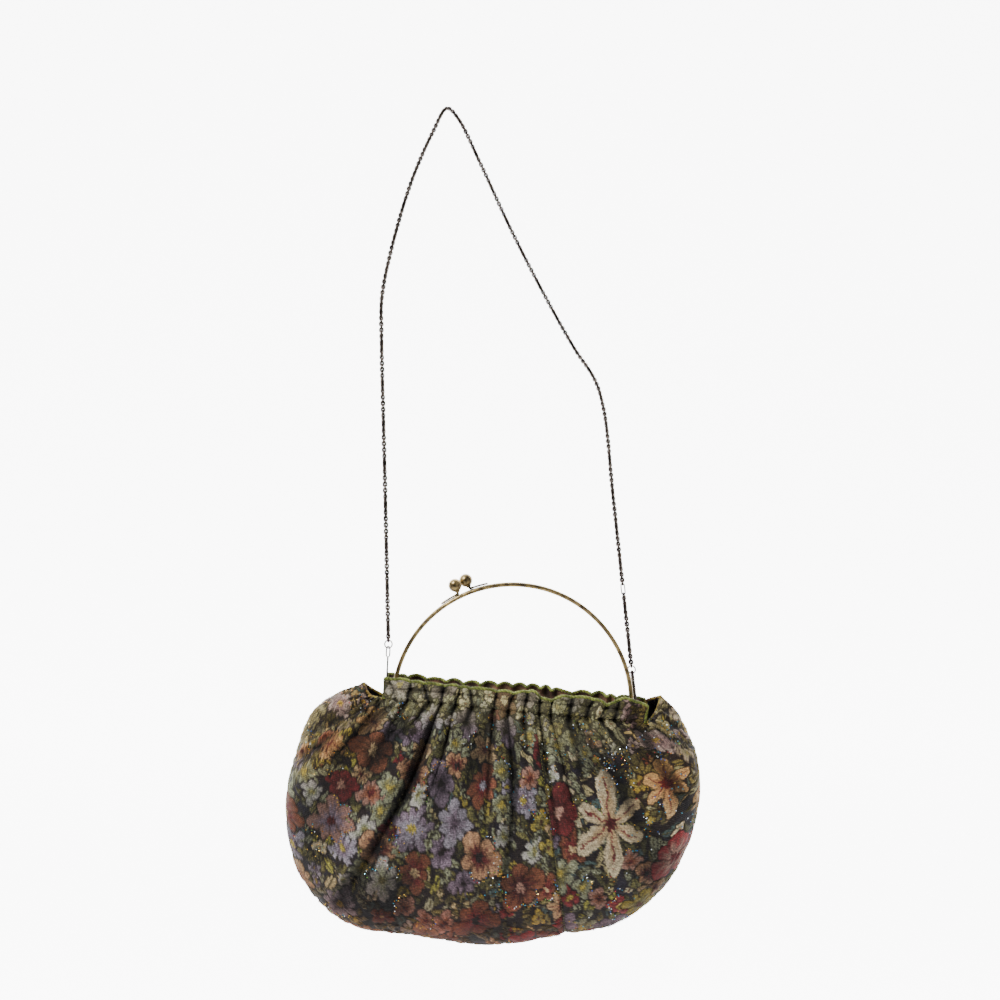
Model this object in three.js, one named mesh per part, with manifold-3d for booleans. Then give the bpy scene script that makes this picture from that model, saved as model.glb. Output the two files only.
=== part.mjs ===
// Kiss lock purse: a gathered cloth bag on two half-round bows, with a long shoulder chain.
// Millimetres, Z up, the front faces -Y, and X runs to the right as the front is seen.
// The origin is the underside of the chain where it lies over the shoulder.
import * as THREE from 'three';
import { mergeVertices } from 'three/addons/utils/BufferGeometryUtils.js';
import Module from 'manifold-3d';

const wasm = await Module();
wasm.setup();

// General sizes
const GAP = 0.3;                 // kept between pieces that touch
const CLOTH = 2;                 // shell cloth with its backing
const LINING = 1;
const LINING_SLACK = 1.5;        // extra room behind the gathers, none at the seam

// The bag as it hangs from the shoulder point
const BAG_PLACE = new THREE.Vector3(67.3, -150, -602);   // middle of the rods
const BAG_TILT = 5.5;            // degrees, right side low
const BAG_WIDTH = 383;           // seam to seam
const BAG_DROP = 226;            // rods to the lowest point of the seam
const BAG_DEPTH = 110;           // front to back, where it is fullest

// The metal frame
const FRAME_RADIUS = 113;        // centre line of the bows
const BOW_TUBE = 4;              // diameter
const LEG_DROP = 6;              // straight leg below the rod line
const ROD = 3.5;

// The casing that the rods run in, and the ruffled header above it
const MOUTH = 7.5;               // between the two casings
const ROD_SLACK = 0.5;           // around the rod in its casing
const CASING_WALL = 1.5;
const CASING_WIDTH = 249;
const CASING_SHIFT = 2.5;        // to the right of the middle of the frame
const CASING_DROP = 7;           // lower edge, below the rod line
const CASING_HALF = ROD / 2 + ROD_SLACK + CASING_WALL;
const ROD_SETBACK = MOUTH / 2 + CASING_HALF;
const HEADER_RISE = 17;          // top of the header above the rod line, piping and all
const HEADER_LEAN = 6;           // how far its edge leans out
const PIPING = 3;
const PIPING_SEAT = 0.5;         // between the piping and the cloth's edge
const PIPING_FOOT = 4.2;         // lower end of the piping, above the rod line
const PLEATS = 16;
const PLEAT_DEPTH = 3;
const END_PLEAT = 0.5;           // share of the pleat depth beside the frame's legs
const END_SETBACK = ROD_SETBACK + ROD / 2 + GAP + CLOTH / 2 + END_PLEAT * PLEAT_DEPTH;

// The lock
const BALL = 12.6;
const BALL_RISE = 9.8;           // ball's centre above the bow's outer side
const BALL_SETBACK = 3.7;
const STEM = 3;
const LEAF = { thick: 1.2, wide: 3.4 };
const STEM_SHIFT = 0.2;          // stem's foot, as a share of the way from leaf to ball

// Hinges and clasps
const TAB = { thick: 1.5, wide: 5.2 };
const HINGE_DROP = 10;           // rivet below the rod line
const RIVET = { pin: 2, head: 4, dome: 1 };
const RIVET_SLACK = 0.25;
const PLATE = { thick: 1.2, wide: 6.6, hole: 3.8 };
const EAR = { out: 7, up: 5.4 };   // ear hole from the rivet
const BOW_SETBACK = PLATE.thick / 2 + GAP + BOW_TUBE / 2;
const WIRE = 1.3;                // jump rings and clasp eyes
const RING = 8.7;                // outer diameter of a jump ring
const CLASP = {
  length: 49.2, hookWire: 1.6, hookWide: 7.4, hookLong: 13,
  bodyWide: 4.2, bodyThick: 1.9, bodyShare: 0.68,   // share of the shank below the eye
};
const EYE = { wide: 6.2, long: 11.4 };
const CHAIN = 3.6;               // width of the links
const CONNECTOR = { wide: 4.8, long: 13.3, wire: 1.3, up: 85 };   // up from the right ring
const CHAIN_STEP = 19;           // between the sections of its tube

// Route of the chain between its two rings, chosen by hand
const CHAIN_ROUTE = [
  [-55.6, -125.2, -390], [-60.4, -107, -245], [-60.8, -99, -212], [-55, -82, -170],
  [-36, -45, -88], [-14, -14, -26], [0, 0, 1.8], [12, 16, -6], [34, 40, -46],
  [68, 58, -116], [104, 60, -186], [136, 44, -246], [156, 24, -280], [164.5, 2, -314],
].map((place) => new THREE.Vector3(...place));

// Outline of the seam, as shares of the bag's half width and of its drop
const OUTLINE = [
  { across: -0.742, down: -0.022 }, { across: -0.955, down: 0.097 },
  { across: -1.046, down: 0.346 }, { across: -1.041, down: 0.589 },
  { across: -0.943, down: 0.805 }, { across: -0.716, down: 0.961 },
  { across: -0.361, down: 0.991 }, { across: -0.021, down: 1 },
  { across: 0.320, down: 0.932 }, { across: 0.629, down: 0.848 },
  { across: 0.856, down: 0.645 }, { across: 0.948, down: 0.381 },
  { across: 0.918, down: 0.139 }, { across: 0.830, down: -0.004 },
  { across: 0.732, down: -0.087 },
];

// Where each column of cloth meets the seam. Columns run from -2 and 2 at the tips of the ears
// to -1 and 1 at the ends of the casing, and 0 in the middle.
const COLUMNS = [
  { at: -2, seam: 0.03, fullness: 0.06 }, { at: -1.5, seam: 0.10, fullness: 0.46 },
  { at: -1, seam: 0.17, fullness: 0.76 }, { at: -0.56, seam: 0.342, fullness: 0.93 },
  { at: 0.155, seam: 0.618, fullness: 1 }, { at: 1, seam: 0.90, fullness: 0.74 },
  { at: 1.5, seam: 0.94, fullness: 0.44 }, { at: 2, seam: 0.975, fullness: 0.06 },
];

// Down the cloth from casing to seam: height, lean carried over from the casing, depth, gathers
const PROFILE = [
  { drop: 0, lean: 1, depth: 0, gather: 1 }, { drop: 0.07, lean: 0.9, depth: 0.20, gather: 0.95 },
  { drop: 0.17, lean: 0.65, depth: 0.46, gather: 0.75 },
  { drop: 0.31, lean: 0.35, depth: 0.73, gather: 0.5 },
  { drop: 0.48, lean: 0.1, depth: 0.93, gather: 0.28 },
  { drop: 0.66, lean: 0, depth: 1, gather: 0.12 }, { drop: 0.82, lean: 0, depth: 0.9, gather: 0.05 },
  { drop: 0.93, lean: 0, depth: 0.68, gather: 0 }, { drop: 0.985, lean: 0, depth: 0.38, gather: 0 },
  { drop: 1, lean: 0, depth: 0, gather: 0 },
];

// Rows of the header and casing, top to bottom. Level counts casing half thicknesses above the rod.
const HEADER_ROWS = [
  { level: 1.3, ruffle: 1, lean: 1, round: false, wave: 1 },
  { level: 1.3, ruffle: 0, lean: 0.15, round: false, wave: 0.5 },
  { level: 0.7, ruffle: 0, lean: 0, round: true, wave: 0.3 },
  { level: -0.7, ruffle: 0, lean: 0, round: true, wave: 0.3 },
];

// The two sides of the bag: header edge as shares of HEADER_RISE, sag of the slit edges, long folds
const FRONT = {
  outward: -1,
  leftSag: 5, rightSag: 0,
  edge: [
    { at: -1, rise: 1 }, { at: -0.7, rise: 0.92 }, { at: -0.28, rise: 0.88 },
    { at: 0, rise: 0.84 }, { at: 0.12, rise: 1 }, { at: 0.24, rise: 0.56 },
    { at: 0.37, rise: 0.9 }, { at: 0.6, rise: 0.93 }, { at: 0.7, rise: 0.68 },
    { at: 0.8, rise: 1.1 }, { at: 0.92, rise: 1.02 }, { at: 1, rise: 0.82 },
  ],
  folds: [
    { at: -0.5625, deep: 6, wide: 0.05, from: 0.08, to: 0.8 },
    { at: -1, deep: 4, wide: 0.09, from: 0, to: 0.5 },
    { at: 0.5625, deep: 2.5, wide: 0.06, from: 0.1, to: 0.55 },
    { at: 0.875, deep: 3.5, wide: 0.07, from: 0, to: 0.6 },
  ],
};
const BACK = {
  outward: 1,
  leftSag: 1, rightSag: -8,
  edge: [
    { at: -1, rise: 0.95 }, { at: -0.75, rise: 1.04 }, { at: -0.4, rise: 0.96 },
    { at: -0.1, rise: 1.08 }, { at: 0.15, rise: 1.12 }, { at: 0.35, rise: 1.02 },
    { at: 0.6, rise: 1.06 }, { at: 0.8, rise: 0.96 }, { at: 1, rise: 1 },
  ],
  folds: [
    { at: -0.75, deep: 4, wide: 0.06, from: 0, to: 0.6 },
    { at: -0.125, deep: 3, wide: 0.06, from: 0.1, to: 0.5 },
    { at: 0.5, deep: 5, wide: 0.05, from: 0.05, to: 0.7 },
    { at: 1, deep: 3.5, wide: 0.08, from: 0, to: 0.5 },
  ],
};

const material = (color, metalness, roughness) => (
  new THREE.MeshStandardMaterial({ color, metalness, roughness }));
const TAPESTRY = material(0x5b4a40, 0, 0.85);
const PIPING_GREEN = material(0x7d8a2e, 0, 0.7);
const SATIN = material(0x23212c, 0, 0.5);
const BRASS = material(0x8a6b3d, 1, 0.42);
const GUNMETAL = material(0x4a4340, 1, 0.45);

// How quickly a long fold sets in and fades out, as shares of the way down
const FOLD_START = 1 / 6;
const FOLD_END = 1 / 4;

const wave = (x) => Math.cos(Math.PI * PLEATS * (x + 1));
const clamp01 = (value) => Math.min(1, Math.max(0, value));
const smooth = (value) => clamp01(value) ** 2 * (3 - 2 * clamp01(value));
const mix = THREE.MathUtils.lerp;

// A smooth value between the rows of a table
function along(table, key, at, column) {
  let k = 0;
  while (k < table.length - 2 && table[k + 1][key] < at) k += 1;
  const slope = (i) => {
    const a = table[Math.max(0, i - 1)];
    const b = table[Math.min(table.length - 1, i + 1)];
    return (b[column] - a[column]) / (b[key] - a[key]);
  };
  const span = table[k + 1][key] - table[k][key];
  const s = clamp01((at - table[k][key]) / span);
  const rise = table[k + 1][column] - table[k][column];
  const bend = (1 - s) * (slope(k) * span - rise) - s * (slope(k + 1) * span - rise);
  return table[k][column] + s * rise + s * (1 - s) * bend;
}

const PROFILE_ROWS = PROFILE.map((row, k) => ({ ...row, down: k / (PROFILE.length - 1) }));

const seamCurve = new THREE.CatmullRomCurve3(
  OUTLINE.map(({ across, down }) => (
    new THREE.Vector3(across * BAG_WIDTH / 2, 0, -down * BAG_DROP))), false, 'centripetal');

// Where the cloth starts: the casing's lower edge, and beyond it the edges of the side slits,
// which sag most at two thirds of the way to the tip
function topPoint(side, q) {
  const x = THREE.MathUtils.clamp(q, -1, 1);
  const corner = new THREE.Vector3(CASING_SHIFT + x * CASING_WIDTH / 2, 0, -CASING_DROP);
  const e = Math.abs(q) - 1;
  if (e <= 0) return corner;
  const tip = seamCurve.getPointAt(q < 0 ? 0 : 1);
  const sag = (q < 0 ? side.leftSag : side.rightSag) * (27 / 4) * e * e * (1 - e);
  return corner.lerp(tip, e).add(new THREE.Vector3(0, 0, -sag));
}

// How much of the casing's full roundness is left near the frame's legs
function casingShare(x) {
  const u = Math.abs(CASING_SHIFT + x * CASING_WIDTH / 2);
  const end = FRAME_RADIUS - ROD / 2 - GAP;
  return smooth((end - u) / (BOW_TUBE + GAP));
}

const casingSetback = (x) => mix(END_SETBACK, ROD_SETBACK, casingShare(x));

// Middle of the cloth below the casing, without its gathers
function bagPoint(side, q, down) {
  const e = clamp01(Math.abs(q) - 1);
  const lip = e > 0 ? mix(END_SETBACK, CLOTH / 2, e * e) : casingSetback(q);
  const top = topPoint(side, q);
  const seam = seamCurve.getPointAt(along(COLUMNS, 'at', q, 'seam'));
  const point = top.lerp(seam, along(PROFILE_ROWS, 'down', down, 'drop'));
  const fullness = along(COLUMNS, 'at', q, 'fullness');
  point.y = side.outward * (GAP / 2 + lip * along(PROFILE_ROWS, 'down', down, 'lean')
    + (BAG_DEPTH / 2) * fullness * along(PROFILE_ROWS, 'down', down, 'depth'));
  return point;
}

function bagNormal(side, q, down) {
  const step = 0.02;   // small beside a pleat
  const across = bagPoint(side, Math.min(2, q + step), down)
    .sub(bagPoint(side, Math.max(-2, q - step), down));
  const fall = bagPoint(side, q, Math.min(1, down + step))
    .sub(bagPoint(side, q, Math.max(0, down - step)));
  return fall.cross(across).normalize().multiplyScalar(-side.outward);
}

// Gathers and long folds push the cloth out or in
function crease(side, q, down) {
  const inCasing = smooth((1 - Math.abs(q)) * PLEATS / 2);
  const gather = wave(q) * inCasing * mix(END_PLEAT, 1, casingShare(q));
  let push = PLEAT_DEPTH * gather * along(PROFILE_ROWS, 'down', down, 'gather');
  for (const fold of side.folds) {
    const reach = smooth((down - fold.from) / FOLD_START) * smooth((fold.to - down) / FOLD_END);
    push -= fold.deep * reach * Math.exp(-(((q - fold.at) / fold.wide) ** 2));
  }
  return push;
}

const keepSide = (side, point) => {
  point.y = side.outward * Math.max(GAP / 2, side.outward * point.y);
  return point;
};

// A closed wall between an outer and an inner sheet that share their triangles
function wallGeometry(pairs, triangles) {
  const count = pairs.length;
  const edges = new Map();
  for (const [a, b, c] of triangles) {
    for (const [from, to] of [[a, b], [b, c], [c, a]]) {
      if (!edges.delete(`${to},${from}`)) edges.set(`${from},${to}`, [from, to]);
    }
  }
  const faces = [];
  for (const [a, b, c] of triangles) faces.push(a, b, c, a + count, c + count, b + count);
  for (const [a, b] of edges.values()) {
    faces.push(b, a, a + count, b, a + count, b + count);
  }
  const geometry = new THREE.BufferGeometry();
  const points = [...pairs.map((pair) => pair.out), ...pairs.map((pair) => pair.in)];
  geometry.setFromPoints(points);
  geometry.setIndex(faces);
  geometry.computeVertexNormals();
  return geometry;
}

function solidOf(geometry) {
  const bare = geometry.clone();
  bare.deleteAttribute('normal');
  bare.deleteAttribute('uv');
  const merged = mergeVertices(bare);
  return new wasm.Manifold(new wasm.Mesh({
    numProp: 3,
    vertProperties: merged.attributes.position.array,
    triVerts: new Uint32Array(merged.index.array),
  }));
}

function geometryOf(solid) {
  const { vertProperties, triVerts } = solid.getMesh();
  const geometry = new THREE.BufferGeometry();
  geometry.setAttribute('position', new THREE.Float32BufferAttribute(vertProperties, 3));
  geometry.setIndex([...triVerts]);
  geometry.computeVertexNormals();
  return geometry;
}

const joined = (...geometries) => (
  geometryOf(geometries.map(solidOf).reduce((whole, piece) => whole.add(piece))));

const carved = (body, ...tools) => (
  geometryOf(tools.map(solidOf).reduce((rest, tool) => rest.subtract(tool), solidOf(body))));

// Columns of a panel: the ears are coarse, and each pleat has four columns in the header
const EAR_COLUMNS = 4;
const casingColumns = (count) => (
  Array.from({ length: count + 1 }, (_, k) => -1 + 2 * k / count));
const earColumns = (sign, count) => (
  Array.from({ length: count }, (_, k) => sign * (1 + (k + 1) / count)));
const bodyColumns = (perCasing, perEar) => [
  ...earColumns(-1, perEar).reverse(), ...casingColumns(perCasing), ...earColumns(1, perEar)];

// Height of the cloth's edge in the header, below its piping
const headerEdge = (side, x) => (
  HEADER_RISE * along(side.edge, 'at', x, 'rise') - PIPING - PIPING_SEAT);

function headerPair(side, x, row) {
  const share = casingShare(x);
  const bottom = row.level * CASING_HALF;
  const z = mix(bottom, headerEdge(side, x), row.ruffle);
  const swing = PLEAT_DEPTH * row.wave * mix(END_PLEAT, 1, share) * wave(x);
  const middle = casingSetback(x) + row.lean * HEADER_LEAN + swing;
  let near = middle - CLOTH / 2;
  let far = middle + CLOTH / 2;
  if (row.round) {
    near = mix(near, ROD_SETBACK - CASING_HALF, share);
    far = mix(far, ROD_SETBACK + CASING_HALF + Math.max(0, swing), share);
  }
  const u = CASING_SHIFT + x * CASING_WIDTH / 2;
  return {
    out: new THREE.Vector3(u, side.outward * far, z),
    in: new THREE.Vector3(u, side.outward * near, z),
  };
}

function clothPair(side, q, down) {
  const middle = bagPoint(side, q, down);
  const normal = bagNormal(side, q, down).multiplyScalar(CLOTH / 2);
  const push = new THREE.Vector3(0, side.outward * crease(side, q, down), 0);
  return {
    out: keepSide(side, middle.clone().add(normal).add(push)),
    in: keepSide(side, middle.clone().sub(normal).add(push)),
  };
}

// Triangles between two rows of points, the upper one as fine as the lower or twice as fine
function bridge(upper, lower, outward) {
  const fine = (upper.length - 1) / (lower.length - 1);
  const triangles = [];
  for (let k = 0; k < lower.length - 1; k += 1) {
    const [a, b] = [lower[k], lower[k + 1]];
    for (let j = 0; j < fine; j += 1) {
      const foot = j < fine / 2 ? a : b;
      triangles.push([upper[k * fine + j], foot, upper[k * fine + j + 1]]);
    }
    triangles.push([a, b, upper[k * fine + Math.floor(fine / 2) + (fine === 1 ? 1 : 0)]]);
  }
  return outward < 0 ? triangles : triangles.map(([a, b, c]) => [a, c, b]);
}

function panelGeometry(side) {
  const pairs = [];
  const addRow = (made) => {
    pairs.push(...made);
    return made.map((_, k) => pairs.length - made.length + k);
  };
  const fine = casingColumns(4 * PLEATS);
  const columns = bodyColumns(2 * PLEATS, EAR_COLUMNS);
  const header = HEADER_ROWS.map((row) => addRow(fine.map((x) => headerPair(side, x, row))));
  const body = PROFILE_ROWS.map((row) => addRow(columns.map((q) => clothPair(side, q, row.down))));
  const triangles = [];
  for (let k = 0; k < header.length - 1; k += 1) {
    triangles.push(...bridge(header[k], header[k + 1], side.outward));
  }
  const underCasing = body[0].slice(EAR_COLUMNS, body[0].length - EAR_COLUMNS);
  triangles.push(...bridge(header[header.length - 1], underCasing, side.outward));
  for (let k = 0; k < body.length - 1; k += 1) {
    triangles.push(...bridge(body[k], body[k + 1], side.outward));
  }
  const bore = cylinder(ROD / 2 + ROD_SLACK, CASING_WIDTH + BOW_TUBE)
    .rotateZ(Math.PI / 2)
    .translate(CASING_SHIFT, side.outward * ROD_SETBACK, 0);
  return carved(wallGeometry(pairs, triangles), bore);
}

// A lining sheet that keeps clear of the deepest fold within reach of each of its points
const LINING_REACH = { across: 2 / PLEATS, steps: 4, down: 0.08 };
const LINING_ROWS = [1, 3, 5, 7, 8].map((k) => PROFILE_ROWS[k].down);
const LINING_COLUMNS = { casing: PLEATS, ear: EAR_COLUMNS / 2 };

function liningGeometry(side) {
  const columns = bodyColumns(LINING_COLUMNS.casing, LINING_COLUMNS.ear);
  const pairs = [];
  const rows = LINING_ROWS.map((down) => columns.map((q) => {
    let deepest = 0;
    const { across, steps } = LINING_REACH;
    for (let near = -steps; near <= steps; near += 1) {
      for (const below of [-LINING_REACH.down, 0, LINING_REACH.down]) {
        const beside = q + across * near / steps;
        deepest = Math.min(deepest, crease(side, beside, clamp01(down + below)));
      }
    }
    const middle = bagPoint(side, q, down);
    const normal = bagNormal(side, q, down);
    const inward = new THREE.Vector3(0, side.outward * deepest, 0);
    const face = (depth) => (
      keepSide(side, middle.clone().addScaledVector(normal, -depth).add(inward)));
    const start = CLOTH / 2 + GAP + LINING_SLACK * (1 - down);
    pairs.push({ out: face(start), in: face(start + LINING) });
    return pairs.length - 1;
  }));
  const triangles = [];
  for (let k = 0; k < rows.length - 1; k += 1) {
    triangles.push(...bridge(rows[k], rows[k + 1], side.outward));
  }
  return wallGeometry(pairs, triangles);
}

function cylinder(radius, length, sides = 8) {
  return new THREE.CylinderGeometry(radius, radius, length, sides);
}

// A tube of round section along a curve
function tube(curve, steps, diameter, sides) {
  const section = new THREE.Shape(Array.from({ length: sides }, (_, k) => {
    const turn = 2 * Math.PI * k / sides;
    return new THREE.Vector2(Math.cos(turn), Math.sin(turn)).multiplyScalar(diameter / 2);
  }));
  return new THREE.ExtrudeGeometry(section, { steps, extrudePath: curve });
}

// A closed link in the X-Z plane, given by its outer width and length
function link(wide, long, wire, segments = 12) {
  const geometry = new THREE.TorusGeometry((wide - wire) / 2, wire / 2, 6, segments);
  const stretch = (long - wide) / 2;
  const place = geometry.attributes.position;
  for (let k = 0; k < place.count; k += 1) {
    const ring = k % (segments + 1);
    const turn = ring / segments;
    const side = Math.abs(Math.sin(2 * Math.PI * turn)) < 0.01 ? 0 : Math.sign(0.5 - turn);
    place.setY(k, place.getY(k) + side * stretch);
  }
  return geometry.rotateX(Math.PI / 2);
}

// A flat plate in the X-Z plane between two points, with round ends
function strap(from, to, wide, thick) {
  const turn = Math.atan2(to.y - from.y, to.x - from.x);
  const shape = new THREE.Shape();
  shape.absarc(to.x, to.y, wide / 2, turn - Math.PI / 2, turn + Math.PI / 2);
  shape.absarc(from.x, from.y, wide / 2, turn + Math.PI / 2, turn + 3 * Math.PI / 2);
  return new THREE.ExtrudeGeometry(shape, { depth: thick, bevelEnabled: false, curveSegments: 4 })
    .rotateX(Math.PI / 2)
    .translate(0, thick / 2, 0);
}

const hingePoint = (sign) => new THREE.Vector2(sign * FRAME_RADIUS, -HINGE_DROP);
const earPoint = (sign) => (
  hingePoint(sign).add(new THREE.Vector2(sign * EAR.out, EAR.up)));
const pinHole = (point, diameter) => (
  cylinder(diameter / 2, 4 * BOW_TUBE).translate(point.x, 0, point.y));

// Leg, half circle, leg
class BowCurve extends THREE.Curve {
  getPoint(t, target = new THREE.Vector3()) {
    const arc = Math.PI * FRAME_RADIUS;
    const s = t * (arc + 2 * LEG_DROP) - LEG_DROP;
    const turn = Math.PI * (1 - clamp01(s / arc));
    const below = Math.min(0, s, arc - s);
    return target.set(
      FRAME_RADIUS * Math.cos(turn), 0, FRAME_RADIUS * Math.sin(turn) + below);
  }
}

function bowGeometry(side) {
  const setback = side.outward * BOW_SETBACK;
  const rodSetback = side.outward * ROD_SETBACK;
  const parts = [tube(new BowCurve(), 28, BOW_TUBE, 8).translate(0, setback, 0)];
  parts.push(cylinder(ROD / 2, 2 * FRAME_RADIUS + ROD)
    .rotateZ(Math.PI / 2).translate(0, rodSetback, 0));
  const tabSetback = side.outward * ((PLATE.thick + TAB.thick) / 2 + GAP);
  for (const sign of [-1, 1]) {
    parts.push(cylinder(ROD / 2, ROD_SETBACK - BOW_SETBACK)
      .translate(sign * FRAME_RADIUS, (setback + rodSetback) / 2, 0));
    const legEnd = new THREE.Vector2(sign * FRAME_RADIUS, -LEG_DROP / 2);
    parts.push(strap(hingePoint(sign), legEnd, TAB.wide, TAB.thick)
      .translate(0, tabSetback, 0));
  }
  const holes = [-1, 1].map((sign) => pinHole(hingePoint(sign), RIVET.pin + 2 * RIVET_SLACK));
  return carved(joined(...parts), ...holes);
}

// Where the lock sits on the bows, in degrees from the right end of the rods
const LOCKS = {
  front: { leafFrom: 131, leafTo: 122.5, ball: 121.3 },
  back: { leafFrom: 107, leafTo: 115, ball: 116.3 },
};
function onFrame(degrees, radius, y) {
  const turn = THREE.MathUtils.degToRad(degrees);
  return new THREE.Vector3(radius * Math.cos(turn), y, radius * Math.sin(turn));
}

function ballPlace(side, lock) {
  return onFrame(
    lock.ball, FRAME_RADIUS + BOW_TUBE / 2 + BALL_RISE, side.outward * BALL_SETBACK);
}

function lockArmGeometry(side, lock) {
  const y = side.outward * BOW_SETBACK;
  const inner = FRAME_RADIUS + BOW_TUBE / 2 + GAP;
  const [low, high] = [Math.min(lock.leafFrom, lock.leafTo), Math.max(lock.leafFrom, lock.leafTo)]
    .map(THREE.MathUtils.degToRad);
  const shape = new THREE.Shape();
  shape.absarc(0, 0, inner + LEAF.thick, low, high);
  shape.absarc(0, 0, inner, high, low, true);
  const leaf = new THREE.ExtrudeGeometry(shape, {
    depth: LEAF.wide, bevelEnabled: false, curveSegments: 5,
  }).rotateX(Math.PI / 2).translate(0, y + LEAF.wide / 2, 0);
  const foot = onFrame(mix(lock.leafTo, lock.ball, STEM_SHIFT), inner + LEAF.thick / 2, y);
  const centre = ballPlace(side, lock);
  const reach = centre.clone().sub(foot);
  const length = reach.length() - BALL / 2 - GAP;
  const stem = cylinder(STEM / 2, length).translate(0, length / 2, 0);
  stem.applyQuaternion(new THREE.Quaternion().setFromUnitVectors(
    new THREE.Vector3(0, 1, 0), reach.normalize()));
  stem.translate(foot.x, foot.y, foot.z);
  return joined(leaf, stem);
}

function rivetGeometry(sign) {
  const stack = PLATE.thick / 2 + TAB.thick + 2 * GAP;
  const [pin, head] = [RIVET.pin / 2, RIVET.head / 2];
  const half = [
    [0, stack + RIVET.dome], [head / 2, stack + RIVET.dome], [head, stack], [pin, stack]];
  const profile = [...half.map(([r, y]) => [r, -y]), ...half.map(([r, y]) => [r, y]).reverse()]
    .map(([r, y]) => new THREE.Vector2(r, y));
  return new THREE.LatheGeometry(profile, 8)
    .translate(sign * FRAME_RADIUS, 0, -HINGE_DROP);
}

function plateGeometry(sign) {
  const blank = strap(hingePoint(sign), earPoint(sign), PLATE.wide, PLATE.thick);
  return carved(blank, pinHole(hingePoint(sign), RIVET.pin + 2 * RIVET_SLACK),
    pinHole(earPoint(sign), PLATE.hole));
}

// A clasp along +Z from the hole that it hooks: hook, flat body, stem and swivel eye
function claspGeometry(eyeTurn, bodyTurn) {
  const lift = (PLATE.hole - CLASP.hookWire) / 2 - 2 * GAP;
  const hook = link(CLASP.hookWide, CLASP.hookLong, CLASP.hookWire)
    .rotateZ(Math.PI / 2)
    .translate(0, 0, CLASP.hookLong / 2 - CLASP.hookWire / 2 + lift);
  const eyeTop = CLASP.length - (RING - WIRE) / 2 + WIRE + GAP + WIRE / 2;
  const eye = link(EYE.wide, EYE.long, WIRE)
    .rotateZ(eyeTurn)
    .translate(0, 0, eyeTop - EYE.long / 2);
  const eyeFoot = eyeTop - EYE.long + WIRE / 2;
  const bodyFoot = CLASP.hookLong + lift - 2 * CLASP.hookWire;
  const bodyTop = mix(bodyFoot, eyeFoot, CLASP.bodyShare);
  const body = strap(
    new THREE.Vector2(0, bodyFoot + CLASP.bodyWide / 2),
    new THREE.Vector2(0, bodyTop - CLASP.bodyWide / 2),
    CLASP.bodyWide, CLASP.bodyThick).rotateZ(bodyTurn);
  const stemFoot = bodyTop - CLASP.bodyWide / 2;
  const stem = cylinder(CLASP.bodyThick / 2, eyeFoot - stemFoot)
    .rotateX(Math.PI / 2).translate(0, 0, (eyeFoot + stemFoot) / 2);
  return joined(hook, body, stem, eye);
}

// The pull of the chain on each clasp, in degrees in the bag's own frame, and how parts are turned
const PULLS = {
  left: { sign: -1, side: -3.5, back: 8, eye: 0.9, ring: -0.25, body: Math.PI / 2 },
  right: { sign: 1, side: -10.8, back: 18, eye: Math.PI / 2, ring: 0.2, body: 0 },
};

function pullDirection(pull) {
  const [side, back] = [pull.side, pull.back].map(THREE.MathUtils.degToRad);
  return new THREE.Vector3(Math.tan(side), Math.tan(back), 1).normalize();
}

function alongPull(pull, distance) {
  const hole = earPoint(pull.sign);
  return pullDirection(pull).multiplyScalar(distance).add(new THREE.Vector3(hole.x, 0, hole.y));
}

// The cord along the top edge of the header, and down its two ends to the rod line
function pipingGeometry(side) {
  const offset = PIPING / 2 + PIPING_SEAT;
  const [edgeRow] = HEADER_ROWS;
  const edgePoint = (x, out = 0) => {
    const pair = headerPair(side, x, edgeRow);
    return pair.out.add(pair.in).multiplyScalar(0.5).add(new THREE.Vector3(out, 0, offset));
  };
  const [left, right] = [edgePoint(-1, -offset), edgePoint(1, offset)];
  const top = new THREE.CatmullRomCurve3(
    [left, ...casingColumns(4 * PLEATS).map((x) => edgePoint(x)), right], false, 'centripetal');
  const ends = [left, right].map((corner) => {
    const foot = new THREE.Vector3(corner.x, side.outward * END_SETBACK, PIPING_FOOT);
    return tube(new THREE.LineCurve3(foot, corner), 1, PIPING, 5);
  });
  return joined(tube(top, 62, PIPING, 5), ...ends);
}

const bag = new THREE.Group();
bag.position.copy(BAG_PLACE);
bag.rotation.y = THREE.MathUtils.degToRad(BAG_TILT);
bag.updateMatrixWorld(true);
const purse = new THREE.Group();

function addTo(group, name, geometry, finish) {
  const mesh = new THREE.Mesh(geometry, finish);
  mesh.name = name;
  group.add(mesh);
  return mesh;
}

for (const [name, side] of Object.entries({ front: FRONT, back: BACK })) {
  addTo(bag, `${name}_panel`, panelGeometry(side), TAPESTRY);
  addTo(bag, `lining_${name}`, liningGeometry(side), SATIN);
  addTo(bag, `piping_${name}`, pipingGeometry(side), PIPING_GREEN);
  addTo(bag, `bow_${name}`, bowGeometry(side), BRASS);
  addTo(bag, `lock_arm_${name}`, lockArmGeometry(side, LOCKS[name]), BRASS);
  const ball = new THREE.SphereGeometry(BALL / 2, 12, 8);
  addTo(bag, `lock_ball_${name}`, ball, BRASS).position.copy(ballPlace(side, LOCKS[name]));
}

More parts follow.
